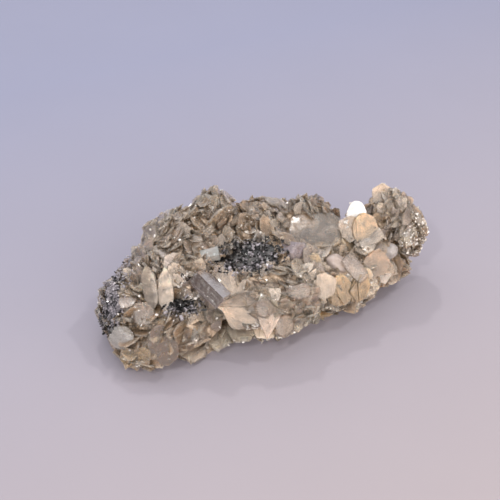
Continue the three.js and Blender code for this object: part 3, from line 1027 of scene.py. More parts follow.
@dataclass
class SheetStock:
    """Makes stacks of thin uneven sheets, one unit wide, long and thick."""

    seed: int = 21
    uneven: float = 0.16
    ragged: float = 0.035
    slab_power: int = 4
    lance_taper: Span = (1.15, 0.10)
    lobe_depth: float = 0.22
    lobe_width: float = 0.13
    lobe_stray: float = 0.05
    crumb_points: int = 6
    book_points: int = 18
    book_bend: float = 0.10
    book_band: float = 0.05
    book_sheets: tuple[int, int] = (4, 7)
    book_chips: tuple[Span, Span] = ((0.25, 0.45), (0.3, 0.48))
    step_start: float = 0.47
    step_back: float = 0.4
    step_stray: float = 0.5
    sheet_size: Span = (0.93, 1.0)
    sheet_fill: Span = (0.75, 0.96)
    sheet_tilt: float = 0.012
    flake_points: int = 9
    flake_sheets: tuple[int, int] = (2, 4)
    flake_chip: Span = (0.3, 0.5)
    flake_step: Span = (0.1, 0.5)
    flake_bend: Span = (-0.2, 0.3)
    flake_fill: float = 0.8
    plate_points: int = 20
    plate_flat: float = 0.2
    plate_bevel: float = 0.08
    needle_taper: Span = (0.4, 0.9)
    needle_jitter: float = 0.08
    shapes: dict[Stock, list[Shape]] = field(default_factory=dict)

    def fill(self) -> None:
        """Makes every family of shapes."""
        rng = np.random.default_rng(self.seed)
        makers = {
            Stock.BOOK: lambda: self.book(rng, Outline.HEXAGON),
            Stock.FLAKE: lambda: self.flake(rng),
            Stock.CRUMB: lambda: self.sheet(self.outline(rng, Outline.HEXAGON, self.crumb_points), 1.0),
            Stock.NEEDLE: lambda: self.needle(rng),
        }
        for family, make in makers.items():
            self.shapes[family] = [make() for _ in range(STOCK_COUNTS[family])]

    def pick(self, family: Stock, rng: Chance) -> Shape:
        """Takes one shape of a family."""
        choices = self.shapes[family]
        return choices[int(rng.integers(len(choices)))]

    def outline(self, rng: Chance, kind: Outline, count: int) -> Mesh:
        """Makes the flat outline of one sheet as a single face.

        Args:
            rng: The source of chance.
            kind: The sort of outline.
            count: Points around it.

        Returns:
            A bmesh with one face.
        """
        mesh = bmesh.new()
        bmesh.ops.create_circle(mesh, cap_ends=True, segments=count, radius=0.5)
        corners = 1 + self.uneven * rng.uniform(-1, 1, 6)
        lean = rng.uniform(-1, 1)
        round_share = ROUND_SHARES.get(kind, ROUND_SHARE)
        for vertex in mesh.verts:
            angle = math.atan2(vertex.co.y, vertex.co.x)
            sector, within = divmod((angle - math.pi / 2) / SIXTH_TURN, 1)
            side = math.cos(math.pi / 6) / math.cos((within - 0.5) * SIXTH_TURN)
            first, second = corners[int(sector) % 6], corners[(int(sector) + 1) % 6]
            hexagon = side * (first + (second - first) * within)
            vertex.co *= hexagon + (1 - hexagon) * round_share + self.ragged * rng.uniform(-1, 1)
            if kind is Outline.SLAB:
                power = self.slab_power
                vertex.co /= (abs(math.cos(angle)) ** power + abs(math.sin(angle)) ** power) ** (1 / power)
            if kind is Outline.LANCE:
                vertex.co.x *= blend(self.lance_taper, vertex.co.y + 0.5)
            if kind is Outline.LOBED and vertex.co.y > 0:
                off = (vertex.co.x - self.lobe_stray * lean) / self.lobe_width
                vertex.co.y -= self.lobe_depth * math.exp(-off ** 2)
        return mesh

    @staticmethod
    def chip(mesh: Mesh, angle: float, reach: float) -> None:
        """Breaks a straight piece off a flat outline, at a distance from its middle."""
        out = Vector((math.cos(angle), math.sin(angle), 0))
        cut_off(mesh, out * reach, out)

    @staticmethod
    def sheet(mesh: Mesh, thickness: float, inset: float = 0.0, bend: float = 0.0) -> Shape:
        """Thickens a flat outline into a sheet.

        Args:
            mesh: The outline, which is used up.
            thickness: How thick the sheet is.
            inset: How wide the band along its edge is, or 0 for none.
            bend: How far its middle stands above its edge.

        Returns:
            The sheet, standing on the plane of the outline.
        """
        bmesh.ops.recalc_face_normals(mesh, faces=mesh.faces)
        if mesh.faces[:][0].normal.z > 0:
            bmesh.ops.reverse_faces(mesh, faces=mesh.faces)
        raise_outline(mesh, thickness)
        bmesh.ops.recalc_face_normals(mesh, faces=mesh.faces)
        caps = [face for face in mesh.faces if abs(face.normal.z) > 0.9]
        edge = {vertex.index for vertex in mesh.verts}
        if inset:
            bmesh.ops.inset_individual(mesh, faces=caps, thickness=inset)
        bmesh.ops.poke(mesh, faces=caps)
        mesh.verts.index_update()
        for vertex in mesh.verts:
            vertex.co.z += bend * (1 - edge_share(vertex) ** 2)
        return read_shape(mesh, lambda vertex: 1.0 if vertex.index in edge else 0.0)

    def book(self, rng: Chance, kind: Outline) -> Shape:
        """Stacks sheets of one outline with thin gaps between them, the upper ones broken back in steps.

        Args:
            rng: The source of chance.
            kind: The sort of outline.

        Returns:
            The book as one shape.
        """
        sheets = int(rng.integers(*self.book_sheets))
        common = self.outline(rng, kind, self.book_points)
        bend = self.book_bend * rng.uniform(-1, 2)
        way = rng.uniform(0, FULL_TURN)
        parts = []
        for place in range(sheets):
            mesh = common.copy()
            bmesh.ops.scale(mesh, verts=mesh.verts, vec=Vector((1, 1, 1)) * rng.uniform(*self.sheet_size))
            if kind not in (Outline.LANCE, Outline.LATH):
                step = self.step_back * place / (sheets - 1)
                self.chip(mesh, way + rng.normal(0, self.step_stray), self.step_start - step * rng.random())
                for reach in self.book_chips:
                    self.chip(mesh, rng.uniform(0, FULL_TURN), rng.uniform(*reach))
            tilt = Matrix.Rotation(rng.normal(0, self.sheet_tilt), 3, Vector(rng.normal(size=3)))
            part = self.sheet(mesh, rng.uniform(*self.sheet_fill) / sheets, self.book_band, bend)
            part.points = part.points @ np.array(tilt).T + np.array((0, 0, place / sheets - 0.5))
            parts.append(part)
        common.free()
        return joined_shape(parts)

    def flake(self, rng: Chance) -> Shape:
        """Makes a thin stack of two or three sheets, each broken off its own way.

        Args:
            rng: The source of chance.

        Returns:
            The flake.
        """
        kind = FLAKE_OUTLINES[int(rng.choice(len(FLAKE_OUTLINES), p=FLAKE_SHARES))]
        sheets = int(rng.integers(*self.flake_sheets))
        bend = rng.uniform(*self.flake_bend)
        parts = []
        for place in range(sheets):
            mesh = self.outline(rng, kind, self.flake_points)
            for reach in (self.flake_step if place else self.flake_chip, self.flake_chip):
                self.chip(mesh, rng.uniform(0, FULL_TURN), rng.uniform(*reach))
            part = self.sheet(mesh, self.flake_fill / sheets, 0.0, bend)
            part.points = part.points + np.array((0, 0, place / sheets - 0.5))
            parts.append(part)
        return joined_shape(parts)

    def plate(self, rng: Chance, kind: Outline) -> Shape:
        """Makes one thick glassy plate with rounded edges.

        Args:
            rng: The source of chance.
            kind: The sort of outline.

        Returns:
            The plate.
        """
        mesh = self.outline(rng, kind, self.plate_points)
        raise_outline(mesh, self.plate_flat)
        bmesh.ops.translate(mesh, verts=mesh.verts, vec=(0, 0, -self.plate_flat / 2))
        bmesh.ops.recalc_face_normals(mesh, faces=mesh.faces)
        rims = [edge for edge in mesh.edges if edge.calc_face_angle(0) > 1]
        bevel_edges(mesh, rims, self.plate_bevel, 3)
        bmesh.ops.scale(mesh, verts=mesh.verts, vec=(1, 1, 1 / self.plate_flat))
        bmesh.ops.poke(mesh, faces=[face for face in mesh.faces if len(face.verts) > 4])
        bmesh.ops.recalc_face_normals(mesh, faces=mesh.faces)
        return read_shape(mesh, edge_share)

    def needle(self, rng: Chance) -> Shape:
        """Makes a short blunt grain with a few sides.

        Args:
            rng: The source of chance.

        Returns:
            The grain.
        """
        mesh = bmesh.new()
        sides = int(rng.integers(3, 7))
        tip = 0.5 * rng.uniform(*self.needle_taper)
        bmesh.ops.create_cone(mesh, cap_ends=True, segments=sides, radius1=0.5, radius2=tip, depth=1.0)
        for vertex in mesh.verts:
            vertex.co += Vector(rng.uniform(-self.needle_jitter, self.needle_jitter, 3))
        return read_shape(mesh, lambda vertex: 1.0)


# Meshes of many pieces

class Bundle:
    """Many placed copies of stock shapes, gathered into one mesh."""

    def __init__(self) -> None:
        """Starts empty."""
        self.points: list[Array] = []
        self.faces: list[Array] = []
        self.rim: list[Array] = []
        self.tint: list[Array] = []
        self.lie: list[Array] = []
        self.count = 0

    def add(
        self, shape: Shape, turn: Array, at: Array, size: Point | Array, tint: Array, mark: float
    ) -> None:
        """Places one shape.

        Args:
            shape: The stock shape.
            turn: Its 3 by 3 turn.
            at: Its middle.
            size: Its width, length and thickness.
            tint: Linear colour and gloss.
            mark: A number of its own, so that no two copies have the same pattern.
        """
        own = shape.points * np.array(size)
        self.points.append(own @ turn.T + at)
        self.faces.append(shape.faces + self.count)
        self.rim.append(shape.rim)
        shaded = np.tile(tint, (len(own), 1))
        # Painted light and shade: each piece is lighter towards its tip and darker at its root.
        shaded[:, :3] *= 1 + TIP_PAINTED_LIGHT * shape.points[:, 1:2]
        self.tint.append(shaded)
        self.lie.append(own + mark * np.array(PATTERN_STEP))
        self.count += len(own)

    def gathered(self) -> tuple[Array, Array]:
        """Gives all points and triangles."""
        return np.concatenate(self.points), np.concatenate(self.faces)

    def build(self, name: str, lowest: float = 0.0, sharp: float = SHARP_ANGLE) -> Piece:
        """Makes the mesh object, levelled off underneath.

        Args:
            name: The piece's name.
            lowest: The height that nothing goes below.
            sharp: The angle past which an edge is sharp.

        Returns:
            The object, in the part's frame.
        """
        points, faces = self.gathered()
        points[:, 2] = np.maximum(points[:, 2], lowest)
        piece = mesh_object(name, to_part(points), faces, sharp)
        attach(piece, "rim", "FLOAT", "value", np.concatenate(self.rim))
        attach(piece, "tint", "FLOAT_COLOR", "color", np.concatenate(self.tint))
        attach(piece, "lie", "FLOAT_VECTOR", "vector", np.concatenate(self.lie))
        # How deep each point lies between the blades: the mask of the painted shade and dirt in the hollows.
        attach(piece, "deep", "FLOAT", "value", hollow_depth(points))
        return piece


def linked(name: str, data: bpy.types.ID) -> Piece:
    """Makes an object and links it to the scene.

    Args:
        name: Its name.
        data: Its mesh, light or camera.

    Returns:
        The object.
    """
    made = bpy.data.objects.new(name, data)
    bpy.context.scene.collection.objects.link(made)
    return made


def mesh_object(name: str, points: Array, faces: Array, sharp: float) -> Piece:
    """Makes a mesh object from arrays.

    Args:
        name: The object's name.
        points: Points in the part's frame, in metres.
        faces: Triangles.
        sharp: The angle between faces, in radians, past which an edge is sharp.

    Returns:
        The object, linked to the scene.
    """
    mesh = bpy.data.meshes.new(name)
    mesh.vertices.add(len(points))
    mesh.vertices.foreach_set("co", points.astype(np.float32).ravel())
    mesh.loops.add(3 * len(faces))
    mesh.loops.foreach_set("vertex_index", faces.astype(np.int32).ravel())
    mesh.polygons.add(len(faces))
    mesh.polygons.foreach_set("loop_start", np.arange(0, 3 * len(faces), 3, dtype=np.int32))
    mesh.update(calc_edges=True)
    mesh.validate()
    mesh.shade_smooth()
    mesh.set_sharp_from_angle(angle=sharp)
    return linked(name, mesh)


def attach(piece: Piece, name: str, kind: str, key: str, values: Array) -> None:
    """Stores a value for each point of a piece."""
    attribute = piece.data.attributes.new(name, kind, "POINT")
    attribute.data.foreach_set(key, values.astype(np.float32).ravel())


def hollow_depth(points: Array) -> Array:
    """Gives how far points lie down between the blades, from 0 at the outside to 1."""
    nearest = np.min([lump.depth(points) for lump in LUMPS], axis=0)
    return np.clip((HOLLOW_TOP - nearest) / HOLLOW_SPAN, 0, 1)


def dress(piece: Piece, material: Material, slot: str, *nodes: str) -> None:
    """Gives a piece its finish, its body and the nodes that it stands for.

    Args:
        piece: The piece.
        material: Its finish.
        slot: The record's material slot, which is not used.
        nodes: The CAD nodes that it replaces.
    """
    piece.data.materials.append(material)
    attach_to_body(piece, BODY)
    if nodes:
        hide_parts(*nodes)
    LOG.info("%s: %d triangles", piece.name, len(piece.data.polygons))


def surface_tree(grounds: list[Bundle]) -> BVHTree:
    """Makes a search tree of bundles' surfaces, to seat small pieces on.

    Args:
        grounds: The bundles.

    Returns:
        The tree, whose triangles are numbered in the order of the bundles.
    """
    points, faces, start = [], [], 0
    for bundle in grounds:
        own_points, own_faces = bundle.gathered()
        points.append(own_points)
        faces.append(own_faces + start)
        start += len(own_points)
    return BVHTree.FromPolygons(np.concatenate(points).tolist(), np.concatenate(faces).tolist())


# The mica cluster

@dataclass
class MicaCluster:
    """The crowded blades, flakes and crumbs of mica on their common ground."""

    stock: SheetStock
    sheets: Material
    glassy: Material
    bright: Material
    ground_material: Material
    core_inset: float = 2.0
    hollow_share: float = 0.55
    hollow_reach: float = 8.0
    ground_waves: tuple[Span, Span] = ((0.7, 0.4), (0.4, 1.1))
    ground_sunk: float = 0.5
    base_height: float = 3.0
    base_rough: float = 0.6
    base_scale: float = 0.6
    prism_span: Span = (-0.2, 0.5)
    prism_room: float = 0.45
    prism_reach: float = 0.2
    patch_span: Span = (-0.3, 1.5)
    patch_core: float = 0.2
    book_share: float = 0.45
    book_room: float = 3.0
    ledge_height: float = 9.0
    feature_room: float = 5.0
    tone_scale: float = 0.07
    tone_drift: float = 1.1
    tone_stray: float = 0.13
    shade_stray: float = 0.05
    blade_seed: int = 3
    blade_spacing: float = 10.0
    blade_length: Span = (8, 13)
    blade_width: Span = (0.72, 1)
    blade_thickness: Span = (1, 2)
    blade_reach: Span = (-0.5, 2)
    blade_stray: float = 0.9
    blade_lowest: float = 1.5
    blade_buried: float = 0.9
    blade_finest: float = 0.6
    flake_seed: int = 8
    flake_spacing: float = 2.9
    flake_length: Span = (5.5, 11.0)
    flake_width: Span = (0.6, 1.0)
    flake_thickness: Span = (0.4, 0.9)
    flake_reach: Span = (-1.2, 0.9)
    flake_stray: float = 0.28
    stand_scale: float = 0.09
    stand_drift: float = 0.8
    stand_fine: float = 0.35
    sheaf_share: Span = (0.25, 0.95)
    outward_share: Span = (1.1, 0.2)
    flake_sunk: float = 0.9
    flake_lowest: float = 1.0
    flake_buried: float = 0.93
    filler_rounds: int = 3
    filler_tries: int = 7000
    filler_length: Span = (3.0, 6.5)
    filler_width: Span = (0.55, 1.0)
    filler_thickness: Span = (0.25, 0.5)
    filler_stray: float = 0.45
    filler_rise: float = 0.35
    crumb_seed: int = 15
    crumb_count: int = 4200
    crumb_length: Span = (0.45, 1.5)
    crumb_width: Span = (0.6, 1)
    crumb_thickness: Span = (0.08, 0.3)
    crumb_stray: float = 1.1
    glint_seed: int = 21
    glint_tries: int = 16000
    glint_share: float = 0.04
    glint_length: Span = (0.35, 1.1)
    spot_start: float = 12.0
    spot_reach: float = 18.0
    spot_lowest: float = 0.8
    spot_buried: float = 0.97

    def build(self) -> BVHTree:
        """Makes the ground, the books, the glassy plates, the flakes, the crumbs and the glints.

        Returns:
            A search tree of what the black grains can sit on.
        """
        rng = np.random.default_rng(self.flake_seed)
        ground = self.ground()
        books, plates, pearls = self.books(rng)
        left, right = self.flakes(rng)
        seats = [ground, books, plates, pearls, left, right]
        for _ in range(self.filler_rounds):
            self.fill_gaps(seats, rng)
        tree = surface_tree(seats)
        crumbs = self.crumbs(tree)
        glints = self.glints(tree)
        dress(ground.build("mica_ground"), self.ground_material, "mica", "mica_matrix")
        dress(books.build("mica_books"), self.sheets, "mica")
        dress(plates.build("mica_plates"), self.glassy, "mica")
        dress(pearls.build("mica_pearls"), self.bright, "mica")
        dress(left.build("mica_flakes_left", FLOOR_GAP), self.sheets, "mica")
        dress(right.build("mica_flakes_right", FLOOR_GAP), self.sheets, "mica")
        dress(crumbs.build("mica_crumbs", FLOOR_GAP), self.sheets, "mica")
        dress(glints.build("mica_glints", FLOOR_GAP), self.bright, "mica")
        return tree

    def ground(self) -> Bundle:
        """Makes the uneven heart of the cluster, hollowed under the crusts, and its broken base.

        Returns:
            The ground as a bundle.
        """
        bundle = Bundle()
        tint = np.append(linear(Tone.BROWN.value), 0.1)
        for number, lump in enumerate(LUMPS):
            mesh = bmesh.new()
            bmesh.ops.create_icosphere(mesh, subdivisions=4, radius=1.0)
            middle = Vector(lump.at)
            half = Vector(lump.half) - Vector((self.core_inset,) * 3)
            bmesh.ops.scale(mesh, verts=mesh.verts, vec=half)
            for vertex in mesh.verts:
                place = vertex.co + middle
                rough = sum(height * noise.noise(place * scale) for height, scale in self.ground_waves)
                vertex.co += vertex.co.normalized() * (rough - self.ground_sunk)
                vertex.co = self.hollowed(vertex.co + middle) - middle
            shape = read_shape(mesh, lambda vertex: 0.0)
            bundle.add(shape, np.eye(3), np.array(lump.at, dtype=float), (1, 1, 1), tint, number)
        bundle.add(self.base(), np.eye(3), np.zeros(3), (1, 1, 1), tint, len(LUMPS))
        return bundle

    def hollowed(self, at: Vector) -> Vector:
        """Presses a point of the ground down into the hollow of a crust.

        Args:
            at: The point.

        Returns:
            The point on the floor of the hollow, or as it was if it lies over none.
        """
        for patch in PATCHES:
            x, y, z = patch.local(at)
            depth = patch.size[2]
            left = patch.inside(x, y)
            if left > 0 and -depth < z < self.hollow_reach:
                floor = -self.hollow_share * depth * math.sqrt(left)
                return Vector(patch.turn() @ np.array((x, y, min(z, floor))) + np.array(patch.at))
        return at

    def base(self) -> Shape:
        """Makes the broken slab underneath, level below and uneven above.

        Returns:
            The slab.
        """
        mesh = bmesh.new()
        mesh.faces.new([mesh.verts.new((x, y, 0)) for x, y in BASE_OUTLINE])
        raise_outline(mesh, self.base_height)
        bmesh.ops.subdivide_edges(mesh, edges=mesh.edges, cuts=3)
        for vertex in mesh.verts:
            if vertex.co.z > 0:
                vertex.co.z += self.base_rough * noise.noise(vertex.co * self.base_scale)
        bmesh.ops.recalc_face_normals(mesh, faces=mesh.faces)
        return read_shape(mesh, lambda vertex: 0.0)

    def sheaf_lie(self, at: Array, stray: Array) -> Array:
        """Gives the way that sheets near a point face, which drifts slowly over the cluster.

        Args:
            at: The point.
            stray: How far this sheet leans from its neighbours.

        Returns:
            The direction.
        """
        x, y, z = at
        lie = np.array((
            math.sin(y / 9 + 1.3 * math.sin(z / 11)),
            math.cos(z / 8 + x / 17),
            math.sin(x / 10 + y / 13),
        ))
        ledge = min(max(1 - z / self.ledge_height, 0), 1)
        lie = unit(lie + stray)
        return unit(lie + (np.array((0, -0.3, 1)) - lie) * ledge)

    @staticmethod
    def grown(
        root: Array, outward: Array, face: Array, size: Array, reach: float, sunk: float
    ) -> tuple[Array, Array]:
        """Places a sheet that grows from a root on a lump.

        Args:
            root: A point on the outline of the lump.
            outward: The way out of the lump there.
            face: The way the sheet faces.
            size: Its width, length and thickness.
            reach: How far its tip clears the outline when it stands upright.
            sunk: How far below the outline it lies when it lies flat.

        Returns:
            Its middle and its turn.
        """
        grow = outward - face * outward.dot(face)
        if grow.dot(grow) < 0.01:
            grow = np.cross(face, (1, 0, 0))
        grow = unit(grow)
        stand = grow.dot(outward)
        flat = 0.4 * size[2] - sunk
        rise = flat + (reach - flat) * stand - size[1] / 2 * stand
        return root + outward * rise, turned(face, grow)

    def blades(self) -> list[tuple[Array, Array, Array]]:
        """Repeats the blades of the solid.

        Returns:
            The middle, the turn and the size of each blade.
        """
        dice = Dice(self.blade_seed)
        features = np.array([thing.at for thing in (*BOOKS, *PRISMS, *PATCHES)], dtype=float)
        golden = math.pi * (3 - math.sqrt(5))
        found = []
        for lump in LUMPS:
            count = round(lump.area() / self.blade_spacing ** 2)
            for i in range(count):
                height = 1 - 2 * (i + 0.5) / count
                ring = math.sqrt(1 - height * height)
                way = np.array((ring * math.cos(i * golden), ring * math.sin(i * golden), height))
                root, outward = lump.spot(way)
                length = dice.between(*self.blade_length)
                width = length * dice.between(*self.blade_width)
                size = np.array((width, length, dice.between(*self.blade_thickness)))
                reach = dice.between(*self.blade_reach)
                stray = self.blade_stray * np.array([dice.roll() - 0.5 for _ in range(3)])
                face = self.sheaf_lie(root, stray)
                at, turn = self.grown(root, outward, face, size, reach, self.core_inset)
                is_clear = np.linalg.norm(features - at, axis=1).min() >= self.feature_room
                is_outside = root[2] > self.blade_lowest and not self.buried(lump, root, self.blade_buried)
                if is_clear and is_outside:
                    found.append((at, turn, size))
        return found

    @staticmethod
    def buried(lump: Lump, root: Array, share: float) -> bool:
        """Tells whether a root lies inside another lump."""
        return any(other is not lump and other.depth(root) < share for other in LUMPS)

    def tone_at(self, at: Array, rng: Chance) -> Tone:
        """Picks the tone of a sheet from where it grows and from chance.

        Args:
            at: Its middle.
            rng: The source of chance.

        Returns:
            The tone.
        """
        for zone in ZONES:
            near = math.exp(-(np.linalg.norm(at - np.array(zone.at)) / zone.radius) ** 2)
            if rng.random() < zone.share * near:
                return zone.tone
        drift = self.tone_drift * noise.noise(Vector(at) * self.tone_scale)
        place = np.clip(0.5 + drift + rng.normal(0, self.tone_stray), 0, 0.999)
        return COMMON_TONES[int(place * len(COMMON_TONES))]

    def tint_of(self, tone: Tone, rng: Chance) -> Array:
        """Gives a sheet's own shade of a tone, and its gloss."""
        shade = rng.normal(1.0, self.shade_stray)
        return np.append(linear(tone.value) * shade, rng.random() ** 1.5)

    def books(self, rng: Chance) -> tuple[Bundle, Bundle, Bundle]:
        """Makes the blades of the solid and the listed books.

        Args:
            rng: The source of chance.

        Returns:
            The glassy books, the clear books and plates, and the pearly books, as bundles.
        """
        books, plates, pearls = Bundle(), Bundle(), Bundle()
        for at, turn, size in self.blades():
            tint = self.tint_of(self.tone_at(at, rng), rng)
            if self.has_room(at, 0.25 * size[1]) and self.fineness(at) < self.blade_finest:
                books.add(self.stock.pick(Stock.BOOK, rng), turn, at, size, tint, rng.random())
        for book in BOOKS:
            at, turn = np.array(book.at, dtype=float), turned(book.face, book.grow)
            tint = np.append(linear(book.tone.value), rng.uniform(0.3, 0.9))
            make = self.stock.plate if book.form is Form.PLATE else self.stock.book
            shape = make(rng, book.outline)
            bundle = {Form.SHEETS: books, Form.PEARL: pearls}.get(book.form, plates)
            bundle.add(shape, turn, at, book.size, tint, rng.random())
        return books, plates, pearls

    def flakes(self, rng: Chance) -> tuple[Bundle, Bundle]:
        """Scatters the smaller flakes that fill the room between the books.

        Args:
            rng: The source of chance.

        Returns:
            The flakes of the left and of the right half, as bundles.
        """
        left, right = Bundle(), Bundle()
        for lump in LUMPS:
            for _ in range(round(lump.area() / self.flake_spacing ** 2)):
                root, outward = lump.spot(unit(rng.normal(size=3)))
                fine = self.fineness(root)
                length = skewed(self.flake_length, 1.4, rng) * (1 - 0.5 * fine)
                size = sheet_size(length, self.flake_width, self.flake_thickness, rng)
                sheaf = self.sheaf_lie(root, np.zeros(3))
                sheaf = sheaf if sheaf.dot(outward) > 0 else -sheaf
                drift = self.stand_drift * noise.noise(Vector(root) * self.stand_scale)
                stand = 0.5 + drift + self.stand_fine * fine
                lean = blend(self.sheaf_share, stand) * sheaf + blend(self.outward_share, stand) * outward
                face = unit(lean + self.flake_stray * rng.normal(size=3))
                reach = rng.uniform(*self.flake_reach)
                at, turn = self.grown(root, outward, face, size, reach, self.flake_sunk)
                tint = self.tint_of(self.tone_at(at, rng), rng)
                is_outside = root[2] > self.flake_lowest and not self.buried(lump, root, self.flake_buried)
                if is_outside and self.has_room(at, 0.5 * length):
                    bundle = left if at[0] < 0 else right
                    bundle.add(self.stock.pick(Stock.FLAKE, rng), turn, at, size, tint, rng.random())
        return left, right

    @staticmethod
    def fineness(at: Array) -> float:
        """Gives how fine the mica is at a point, from 0 for broad plates to 1 for small sheets."""
        gaps = [np.linalg.norm(at - np.array(spot)) / reach for spot, reach in FINE_SPOTS]
        return math.exp(-min(gaps) ** 2)

    def surface_spot(self, tree: BVHTree, rng: Chance) -> Spot | None:
        """Picks a spot on the outside of the cluster by chance.

        Args:
            tree: The search tree of the cluster.
            rng: The source of chance.

        Returns:
            The spot, the way its triangle faces, the triangle's number and the way out of the cluster, or
            nothing if there is no cluster there.
        """
        areas = np.array([lump.area() for lump in LUMPS])
        lump = LUMPS[int(rng.choice(len(LUMPS), p=areas / areas.sum()))]
        root, outward = lump.spot(unit(rng.normal(size=3)))
        start = Vector(root + self.spot_start * outward)
        hit, normal, number, _ = tree.ray_cast(start, Vector(-outward), self.spot_reach)
        if hit is None or hit.z < self.spot_lowest or self.buried(lump, root, self.spot_buried):
            return None
        return hit, normal, number, outward

    def fill_gaps(self, bundles: list[Bundle], rng: Chance) -> None:
        """Sets small flakes wherever the ground can be seen from outside.

        Args:
            bundles: The ground first, and the flakes of the left and right half last.
            rng: The source of chance.
        """
        tree = surface_tree(bundles)
        ground_faces = sum(len(faces) for faces in bundles[0].faces)
        for _ in range(self.filler_tries):
            spot = self.surface_spot(tree, rng)
            if spot is None or spot[2] >= ground_faces or self.on_patch(spot[0]):
                continue
            hit, _, _, outward = spot
            length = rng.uniform(*self.filler_length)
            size = sheet_size(length, self.filler_width, self.filler_thickness, rng)
            face = unit(outward + self.filler_stray * rng.normal(size=3))
            turn = turned(face, rng.normal(size=3))
            at = np.array(hit) + self.filler_rise * outward
            tint = self.tint_of(self.tone_at(at, rng), rng)
            bundle = bundles[-2] if at[0] < 0 else bundles[-1]
            if self.has_room(at, 0.2 * length):
                bundle.add(self.stock.pick(Stock.FLAKE, rng), turn, at, size, tint, rng.random())

    def on_patch(self, at: Vector) -> bool:
        """Tells whether a point lies on one of the crusts.

        Args:
            at: The point.

        Returns:
            True if it does.
        """
        for patch in PATCHES:
            x, y, _ = patch.local(at)
            is_near = np.linalg.norm(np.array(at) - np.array(patch.at)) < max(patch.size)
            if is_near and patch.inside(x, y) > self.patch_core:
                return True
        return False

    def has_room(self, at: Array, reach: float) -> bool:
        """Tells whether a sheet keeps clear of the crystals, the crusts and the faces of the books.

        Args:
            at: Its middle.
            reach: Half its length.

        Returns:
            True if it does.
        """
        for prism in PRISMS:
            root, tip = (share * prism.length for share in self.prism_span)
            along = np.clip((at - np.array(prism.at)) @ unit(prism.axis), root, tip)
            off = at - np.array(prism.at) - unit(prism.axis) * along
            if np.linalg.norm(off) < self.prism_room * prism.across + self.prism_reach * reach:
                return False
        for patch in PATCHES:
            x, y, z = patch.local(at)
            low, high = (share * patch.size[2] for share in self.patch_span)
            if patch.inside(x, y) > 0 and low < z < high:
                return False
        for book in BOOKS:
            x, y, z = (at - np.array(book.at)) @ turned(book.face, book.grow)
            width, length = (self.book_share * side for side in book.size[:2])
            is_over = abs(x) < width and abs(y) < length and 0 < z < self.book_room + reach
            if is_over and not book.is_covered:
                return False
        return True

    def crumbs(self, tree: BVHTree) -> Bundle:
        """Lays small crumbs of mica on whatever lies under them.

        Args:
            tree: The search tree of what they can lie on.

        Returns:
            The crumbs as a bundle.
        """
        rng = np.random.default_rng(self.crumb_seed)
        bundle = Bundle()
        for _ in range(self.crumb_count):
            spot = self.surface_spot(tree, rng)
            if spot is not None:
                tone = self.tone_at(np.array(spot[0]), rng)
                self.crumb(bundle, spot, self.crumb_length, tone, rng)
        return bundle

    def glints(self, tree: BVHTree) -> Bundle:
        """Lays bright white crumbs, painted glitter, here and there, and thickly where they crowd.

        Args:
            tree: The search tree of what they can lie on.

        Returns:
            The bright crumbs as a bundle.
        """
        rng = np.random.default_rng(self.glint_seed)
        bundle = Bundle()
        for _ in range(self.glint_tries):
            spot = self.surface_spot(tree, rng)
            if spot is None:
                continue
            crowded = any((spot[0] - Vector(at)).length < size for at, size in GLINT_SPOTS)
            if rng.random() < (1 if crowded else self.glint_share):
                self.crumb(bundle, spot, self.glint_length, Tone.WHITE, rng)
        return bundle

    def crumb(self, bundle: Bundle, spot: Spot, lengths: Span, tone: Tone, rng: Chance) -> None:
        """Lays one crumb where there is room for it.

        Args:
            bundle: Where it goes.
            spot: The spot that it lies on.
            lengths: The shortest and longest crumb.
            tone: Its colour.
            rng: The source of chance.
        """
        hit, normal = np.array(spot[0]), np.array(spot[1])
        length = skewed(lengths, 2, rng)
        face = unit(normal + self.crumb_stray * rng.normal(size=3))
        at = hit + 0.1 * length * normal
        size = sheet_size(length, self.crumb_width, self.crumb_thickness, rng)
        tint = self.tint_of(tone, rng)
        if self.has_room(at, 0.5 * length):
            turn = turned(face, rng.normal(size=3))
            bundle.add(self.stock.pick(Stock.CRUMB, rng), turn, at, size, tint, rng.random())


# Clear and milky crystals

